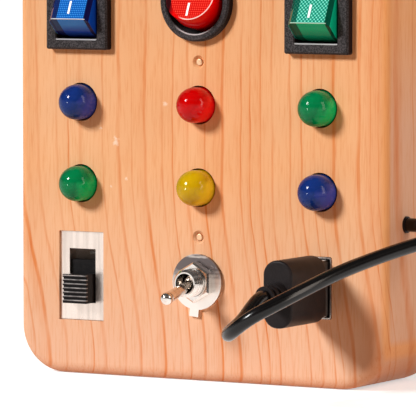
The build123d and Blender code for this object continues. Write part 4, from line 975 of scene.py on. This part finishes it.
# Painted shade: the plug's nickel shell sits in the shade of the grip, and is coloured dark brownish for
# it.
PAINTED_SHADE_NICKEL = BareMetal(
    "nickel_on_steel_painted_shade", roughness=0.35, grain=Grain.BRUSHED, colour="#4A4442", shade_colour="#3A3533"
)
CHROME = BareMetal("bright_plating", roughness=0.16, colour="#E2DCD6", shade_colour="#CFC6BE")
WASHER = DishedWasher("dished_washer")
TINNED = BareMetal("tinned_brass", roughness=0.5, colour="#7C7670", shade_colour="#5E5954")
ZINC = BareMetal("zinc_on_steel", roughness=0.35, colour="#B9B6AE", shade_colour="#A19E96")
PIN = BareMetal("nickel_pin", roughness=0.5, colour="#D9B08C", shade_colour="#B98A66")
BRASS = BareMetal("rolled_brass", roughness=0.25, colour="#D2A75A", shade_colour="#B98C43")
CLEAR_BLUE = ClearRocker("clear_blue", pivot_x_mm=-COLUMN / MM)
CLEAR_RED = ClearRocker(
    "clear_red", face="#D40C08", spark="#FF4A3A", flank="#E60404", foot="#C80303", side="#C00404",
    rim="#30060C", edge="#FFE4DE", lens_mm=0.5, round_mm=5.0,
)
CLEAR_GREEN = ClearRocker(
    "clear_green", face="#058F76", spark="#8AF5E0", flank="#04C896", foot="#04946E", side="#08BE98",
    rim="#05503E", edge="#B9F2DF", lens=Lens.DIAMONDS, lens_mm=0.85, pivot_x_mm=COLUMN / MM,
)
LAMINATE = BareLaminate("glass_laminate")
CELL = CellSleeve("cell_sleeve")
CORD = PolymerSheath("pvc_cord")
RED_WIRE = PolymerSheath("pvc_wire_red", colour="#A31512", tint="#B82320", roughness=0.35)
BLACK_WIRE = PolymerSheath("pvc_wire_black", colour="#161415", tint="#201D1E", roughness=0.35)


@dataclass
class CordRun:
    """The black cord from the side of the case round to the plug in the port."""

    radius: float = 1.45 * MM
    sides: int = 10
    route: tuple[Triple, ...] = (
        (0.0429, -0.0053, 0.0349), (0.0497, -0.0053, 0.0349), (0.0557, -0.0080, 0.0346),
        (0.0594, -0.0136, 0.0340), (0.0596, -0.0206, 0.0333), (0.0569, -0.0282, 0.0320),
        (0.0539, -0.0365, 0.0302), (0.0510, -0.0450, 0.0281), (0.0479, -0.0526, 0.0254),
        (0.0442, -0.0589, 0.0225), (0.0394, -0.0625, 0.0194), (0.0336, -0.0606, 0.0155),
        (0.0305, -0.0540, 0.0157), (0.0298, -0.0478, 0.0172), (0.0295, -0.0430, 0.0199),
        (0.0295, -0.0397, 0.0215), (0.0295, -0.0380, 0.0215),
    )

    def draw(self) -> Object:
        """Lay the cord's line through its points.

        Returns:
            A curve with no thickness.
        """
        line = bpy.data.curves.new("usb_cord_line", "CURVE")
        line.dimensions = "3D"
        line.resolution_u = 16
        spline = line.splines.new("NURBS")
        spline.points.add(len(self.route) - 1)
        for point, place in zip(spline.points, self.route):
            point.co = (*place, 1.0)
        spline.order_u = 3
        spline.use_endpoint_u = True
        cord = bpy.data.objects.new("usb_cord_run", line)
        bpy.context.collection.objects.link(cord)
        return cord

    def build(self) -> Object:
        """Returns:
            The cord's tube.
        """
        cord = self.draw()
        bpy.context.view_layer.update()
        bare = bpy.data.meshes.new_from_object(cord)
        bpy.data.meshes.remove(bare)
        cord.data.bevel_depth = self.radius
        cord.data.bevel_resolution = self.sides
        cord.data.use_fill_caps = True
        select_only(cord)
        bpy.ops.object.convert(target="MESH")
        bpy.ops.object.shade_smooth_by_angle(angle=math.radians(40))
        cord = bpy.context.active_object
        cord.data.materials.clear()
        cord.data.materials.append(CORD.make())
        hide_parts("usb_cord")
        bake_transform(cord)
        return cord


@dataclass
class RockerSwitch:
    """One rocker switch with its stamped marks: a bar on the lower half, a ring on the upper."""

    colour: str
    x: float
    finish: ClearRocker
    mark_t: float = 0.05 * MM
    bar_w: float = 0.5 * MM
    bar_l: float = 2.95 * MM
    bar_at: float = 2.87 * MM
    ring_r: float = 1.35 * MM
    ring_w: float = 0.42 * MM

    def settle(self, mark: Object, side: int) -> None:
        """Turn a flat mark onto one half of the rocker's face and apply its place.

        Args:
            mark: The mark, made flat on the XY plane at the origin.
            side: 1 for the upper half, -1 for the lower half.
        """
        tilt = math.radians(TILT)
        out = Vector((0, -math.cos(tilt), math.sin(tilt)))
        up = Vector((0, math.sin(tilt), math.cos(tilt)))
        pivot = Vector((self.x, PIVOT_Y, TOP_ROW))
        height = VALLEY_MM * MM + SLOPE * self.bar_at
        place = pivot + out * (height + self.mark_t * 0.2) + up * self.bar_at * side
        normal = (out - up * SLOPE * side).normalized()
        mark.rotation_mode = "QUATERNION"
        mark.rotation_quaternion = normal.to_track_quat("Z", "Y")
        mark.location = place
        select_only(mark)
        bpy.ops.object.transform_apply(location=True, rotation=True, scale=True)
        mark.data.materials.clear()
        mark.data.materials.append(MARK.make())
        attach(mark, f"{self.colour}_rocker_body")

    def stamp_bar(self) -> Object:
        """Make the bar mark.

        Returns:
            The mark's mesh, with softened edges.
        """
        bpy.ops.object.select_all(action="DESELECT")
        bpy.ops.mesh.primitive_cube_add(size=1)
        bar = bpy.context.active_object
        bar.name = f"{self.colour}_bar_mark"
        bar.scale = (self.bar_w, self.bar_l, self.mark_t)
        select_only(bar)
        bpy.ops.object.transform_apply(scale=True)
        bpy.ops.object.mode_set(mode="EDIT")
        bpy.ops.mesh.select_all(action="SELECT")
        bpy.ops.mesh.bevel(offset=self.mark_t * 0.3, segments=2, affect="EDGES")
        bpy.ops.object.mode_set(mode="OBJECT")
        return bar

    def stamp_ring(self) -> Object:
        """Make the ring mark.

        Returns:
            The mark's mesh, a low ring.
        """
        bpy.ops.object.select_all(action="DESELECT")
        bpy.ops.mesh.primitive_torus_add(
            major_radius=self.ring_r, minor_radius=self.ring_w / 2, major_segments=40, minor_segments=10
        )
        ring = bpy.context.active_object
        ring.name = f"{self.colour}_ring_mark"
        ring.scale = (1.0, 1.0, self.mark_t / self.ring_w)
        return ring

    def build(self) -> None:
        """Dress the switch and stamp its marks."""
        self.settle(self.stamp_bar(), -1)
        self.settle(self.stamp_ring(), 1)
        dress([f"{self.colour}_rocker"], self.finish)
        dress([f"{self.colour}_switch_housing"], HOUSING)
        dress([f"{self.colour}_plunger"], WHITE)
        dress([f"{self.colour}_contact_bar", f"{self.colour}_switch_terminals"], BRASS)
        LOG.info("%s rocker switch dressed", self.colour)


@dataclass
class Studio:
    """White floor, a soft key from the upper left, a tall fill on the right, and the camera."""

    camera_at: Triple = (0.474745, -0.834043, 0.105341)
    turn: float = 29.937
    dip: float = 3.985
    lens: float = 384.13
    sensor: float = 36.0
    shift_x: float = -0.0016
    shift_y: float = -0.0223
    key_from: Triple = (-0.65, -1.0, 0.70)
    key_spread: float = 14.0
    key_strength: float = 3.15
    fill_turn: float = 82.0
    fill_rise: float = 0.35
    fill_away: float = 1.1
    fill_aim: Triple = (0.0, 0.0, 0.05)
    fill_size: Pair = (0.35, 0.9)
    fill_colour: Triple = (1.0, 0.88, 0.78)
    fill_power: float = 5.6
    room_colour: str = "#FFF1E4"
    room_strength: float = 0.09
    mirrored: Stops = (
        (0.0, "#FFFFFF"), (0.10, "#F2EEEA"), (0.18, "#8A8480"), (0.30, "#3E3A38"), (0.5, "#4E4A48"),
        (0.62, "#9A9694"), (0.75, "#4E4A48"), (1.0, "#6A6866"),
    )
    floor_size: float = 12.0
    floor_gap: float = 0.05 * MM

    def place_camera(self) -> None:
        """Make the camera and hand it to the scene."""
        camera = bpy.data.objects.new("camera", bpy.data.cameras.new("camera"))
        bpy.context.collection.objects.link(camera)
        camera.location = self.camera_at
        camera.rotation_euler = (math.radians(90 - self.dip), 0, math.radians(self.turn))
        camera.data.lens = self.lens
        camera.data.sensor_width = self.sensor
        camera.data.shift_x = self.shift_x
        camera.data.shift_y = self.shift_y
        camera.data.clip_end = 50
        bpy.context.scene.camera = camera

    def light(self) -> None:
        """Make the key and the fill."""
        key = bpy.data.objects.new("key", bpy.data.lights.new("key", "SUN"))
        key.data.energy = self.key_strength
        key.data.angle = math.radians(self.key_spread)
        key.rotation_mode = "QUATERNION"
        key.rotation_quaternion = Vector(self.key_from).to_track_quat("Z", "Y")
        bpy.context.collection.objects.link(key)

        fill = bpy.data.objects.new("fill", bpy.data.lights.new("fill", "AREA"))
        fill.data.shape = "RECTANGLE"
        fill.data.size, fill.data.size_y = self.fill_size
        fill.data.color = self.fill_colour
        fill.data.energy = self.fill_power
        turn = math.radians(self.fill_turn)
        toward = Vector((math.sin(turn), -math.cos(turn), self.fill_rise)).normalized()
        fill.location = Vector(self.fill_aim) + toward * self.fill_away
        fill.rotation_mode = "QUATERNION"
        fill.rotation_quaternion = toward.to_track_quat("Z", "Y")
        bpy.context.collection.objects.link(fill)

    def surround(self) -> None:
        """Make the room: dim on matte pieces, light and dark walls in gloss, white to the camera."""
        world = bpy.data.worlds.new("studio_room")
        bpy.context.scene.world = world
        world.use_nodes = True
        world.node_tree.nodes.clear()
        add = partial(add_node, world.node_tree)
        rays = add("LightPath").outputs
        direction = add("TexCoord").outputs["Generated"]
        height = add("SeparateXYZ", [direction]).outputs["Z"]
        walls = add("ValToRGB", [height], stops=self.mirrored)
        room = add("Background", {"Color": self.room_colour, "Strength": self.room_strength})
        mirrored = add("Background", {"Color": walls, "Strength": 1.0})
        white = add("Background", {"Color": "#FFFFFF", "Strength": 1.0})
        glossy = add("MixShader", [rays["Is Glossy Ray"], room, mirrored])
        direct = [rays["Is Camera Ray"], rays["Is Transmission Ray"]]
        through = add("Math", direct, "MAXIMUM")
        seen = add("MixShader", [through, glossy, white])
        add("OutputWorld", {"Surface": seen})

    def lay_floor(self) -> None:
        """Lay the white floor."""
        bpy.ops.object.select_all(action="DESELECT")
        bpy.ops.mesh.primitive_plane_add(size=self.floor_size, location=(0, 0, -self.floor_gap))
        floor = bpy.context.active_object
        floor.name = "floor"
        floor.data.materials.append(BackdropPaper("backdrop_paper").make())

    def build(self) -> None:
        """Set up camera, light, room and floor."""
        bpy.context.scene.view_settings.view_transform = "Standard"
        self.place_camera()
        self.light()
        self.surround()
        self.lay_floor()
        LOG.info("studio set up")


def dress(nodes: list[str], finish: Finish) -> None:
    """Give solids one finish.

    Args:
        nodes: Names of the solids.
        finish: What they are made of.
    """
    material = finish.make()
    for name in nodes:
        solid = bpy.data.objects[name]
        for slot in solid.material_slots:
            slot.material = material
    LOG.info("%s: %s", finish.label, ", ".join(nodes))


@dataclass
class WoodenCase:
    """The hollowed block with its back cover, the pins in its front and the bush of the cord."""

    block: str = "wood_case"
    cover: str = "back_cover"
    screws: str = "cover_screws"
    pins: str = "front_pins"
    bush: str = "cord_grommet"

    def build(self) -> None:
        """Dress the case."""
        dress([self.block], WOOD)
        dress([self.cover], PLY)
        dress([self.screws], ZINC)
        dress([self.pins], PIN)
        dress([self.bush], GRIP)


@dataclass
class LampSet:
    """Six round-nosed lamps in two rows, the board that carries them, and the wires."""

    blue: tuple[str, str, str] = ("#0A2464", "#14327C", "#3A46A8")
    red: tuple[str, str, str] = ("#A60000", "#CC0202", "#F21414")
    green: tuple[str, str, str] = ("#01613A", "#02804A", "#0BB868")
    yellow: tuple[str, str, str] = ("#A88A02", "#CDA806", "#EFCF28")

    def lamp(self, node: str, colours: tuple[str, str, str]) -> None:
        """Dress one lamp.

        Args:
            node: The lamp's name.
            colours: Its deep side, its body and its glowing side.
        """
        low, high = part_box(node)
        centre = ((low[0] + high[0]) / 2 / MM, (low[2] + high[2]) / 2 / MM)
        deep, colour, glow = colours
        dress([node], LampEpoxy(f"{node}_epoxy", deep=deep, colour=colour, glow=glow, centre_mm=centre))

    def build(self) -> None:
        """Dress the lamps, their board and the wires."""
        self.lamp("upper_left_lamp", self.blue)
        self.lamp("upper_middle_lamp", self.red)
        self.lamp("upper_right_lamp", self.green)
        self.lamp("lower_left_lamp", self.green)
        self.lamp("lower_middle_lamp", self.yellow)
        self.lamp("lower_right_lamp", self.blue)
        dress(["lamp_board"], LAMINATE)
        dress(["lamp_leads"], NICKEL)
        dress(["red_wires"], RED_WIRE)
        dress(["black_wires"], BLACK_WIRE)


@dataclass
class SlideSwitch:
    """The slide switch: a brushed plate in a window of the case, with a ribbed knob in its slot."""

    plate: str = "slide_switch_frame"
    knob: str = "slide_knob"

    def build(self) -> None:
        """Dress the slide switch."""
        dress([self.plate], NICKEL)
        dress([self.knob], KNOB)
        dress(["slide_switch_base"], PAINTED_LIGHT_BASE)
        dress(["slide_contact"], BRASS)
        dress(["slide_switch_terminals"], TINNED)
        dress(["slide_switch_screws"], ZINC)


@dataclass
class ToggleSwitch:
    """The toggle switch: lever, threaded bushing, nut and tabbed washer in front of its body."""

    bright: tuple[str, ...] = ("toggle_bushing", "toggle_nut", "toggle_lever")

    def build(self) -> None:
        """Dress the toggle switch."""
        dress(list(self.bright), CHROME)
        dress(["toggle_washer"], WASHER)
        dress(["toggle_body"], PHENOLIC)
        dress(["toggle_contact_bar"], BRASS)
        dress(["toggle_terminals"], TINNED)


@dataclass
class UsbLink:
    """The port on its board, and the plug that the cord ends in."""

    contacts: tuple[str, ...] = ("usb_port_contacts", "plug_contacts")

    def build(self) -> None:
        """Dress the port and the plug."""
        dress(["usb_port_shell"], NICKEL)
        dress(["plug_shell"], PAINTED_SHADE_NICKEL)
        dress(list(self.contacts), BRASS)
        dress(["usb_port_tongue"], BLACK_ABS)
        dress(["plug_insulator"], WHITE)
        dress(["plug_grip", "plug_boot"], GRIP)
        dress(["usb_board"], LAMINATE)
        dress(["usb_board_screws"], ZINC)


@dataclass
class BatteryPack:
    """Two dry cells in a tray behind a small door."""

    shells: tuple[str, ...] = ("battery_tray", "battery_door")

    def build(self) -> None:
        """Dress the pack."""
        dress(list(self.shells), TRAY)
        dress(["batteries"], CELL)
        dress(["battery_springs", "battery_contacts"], NICKEL)
        dress(["door_screws"], ZINC)


def main() -> None:
    """Load the solids, dress them, add the cord and marks, and set up the studio."""
    logging.basicConfig(level=logging.INFO, format="%(message)s")
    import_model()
    Studio().build()
    CordRun().build()
    WoodenCase().build()
    LampSet().build()
    SlideSwitch().build()
    ToggleSwitch().build()
    UsbLink().build()
    BatteryPack().build()
    rockers = (("blue", -COLUMN, CLEAR_BLUE), ("red", 0.0, CLEAR_RED), ("green", COLUMN, CLEAR_GREEN))
    for colour, x, finish in rockers:
        RockerSwitch(colour, x, finish).build()


if __name__ == "__main__":
    main()
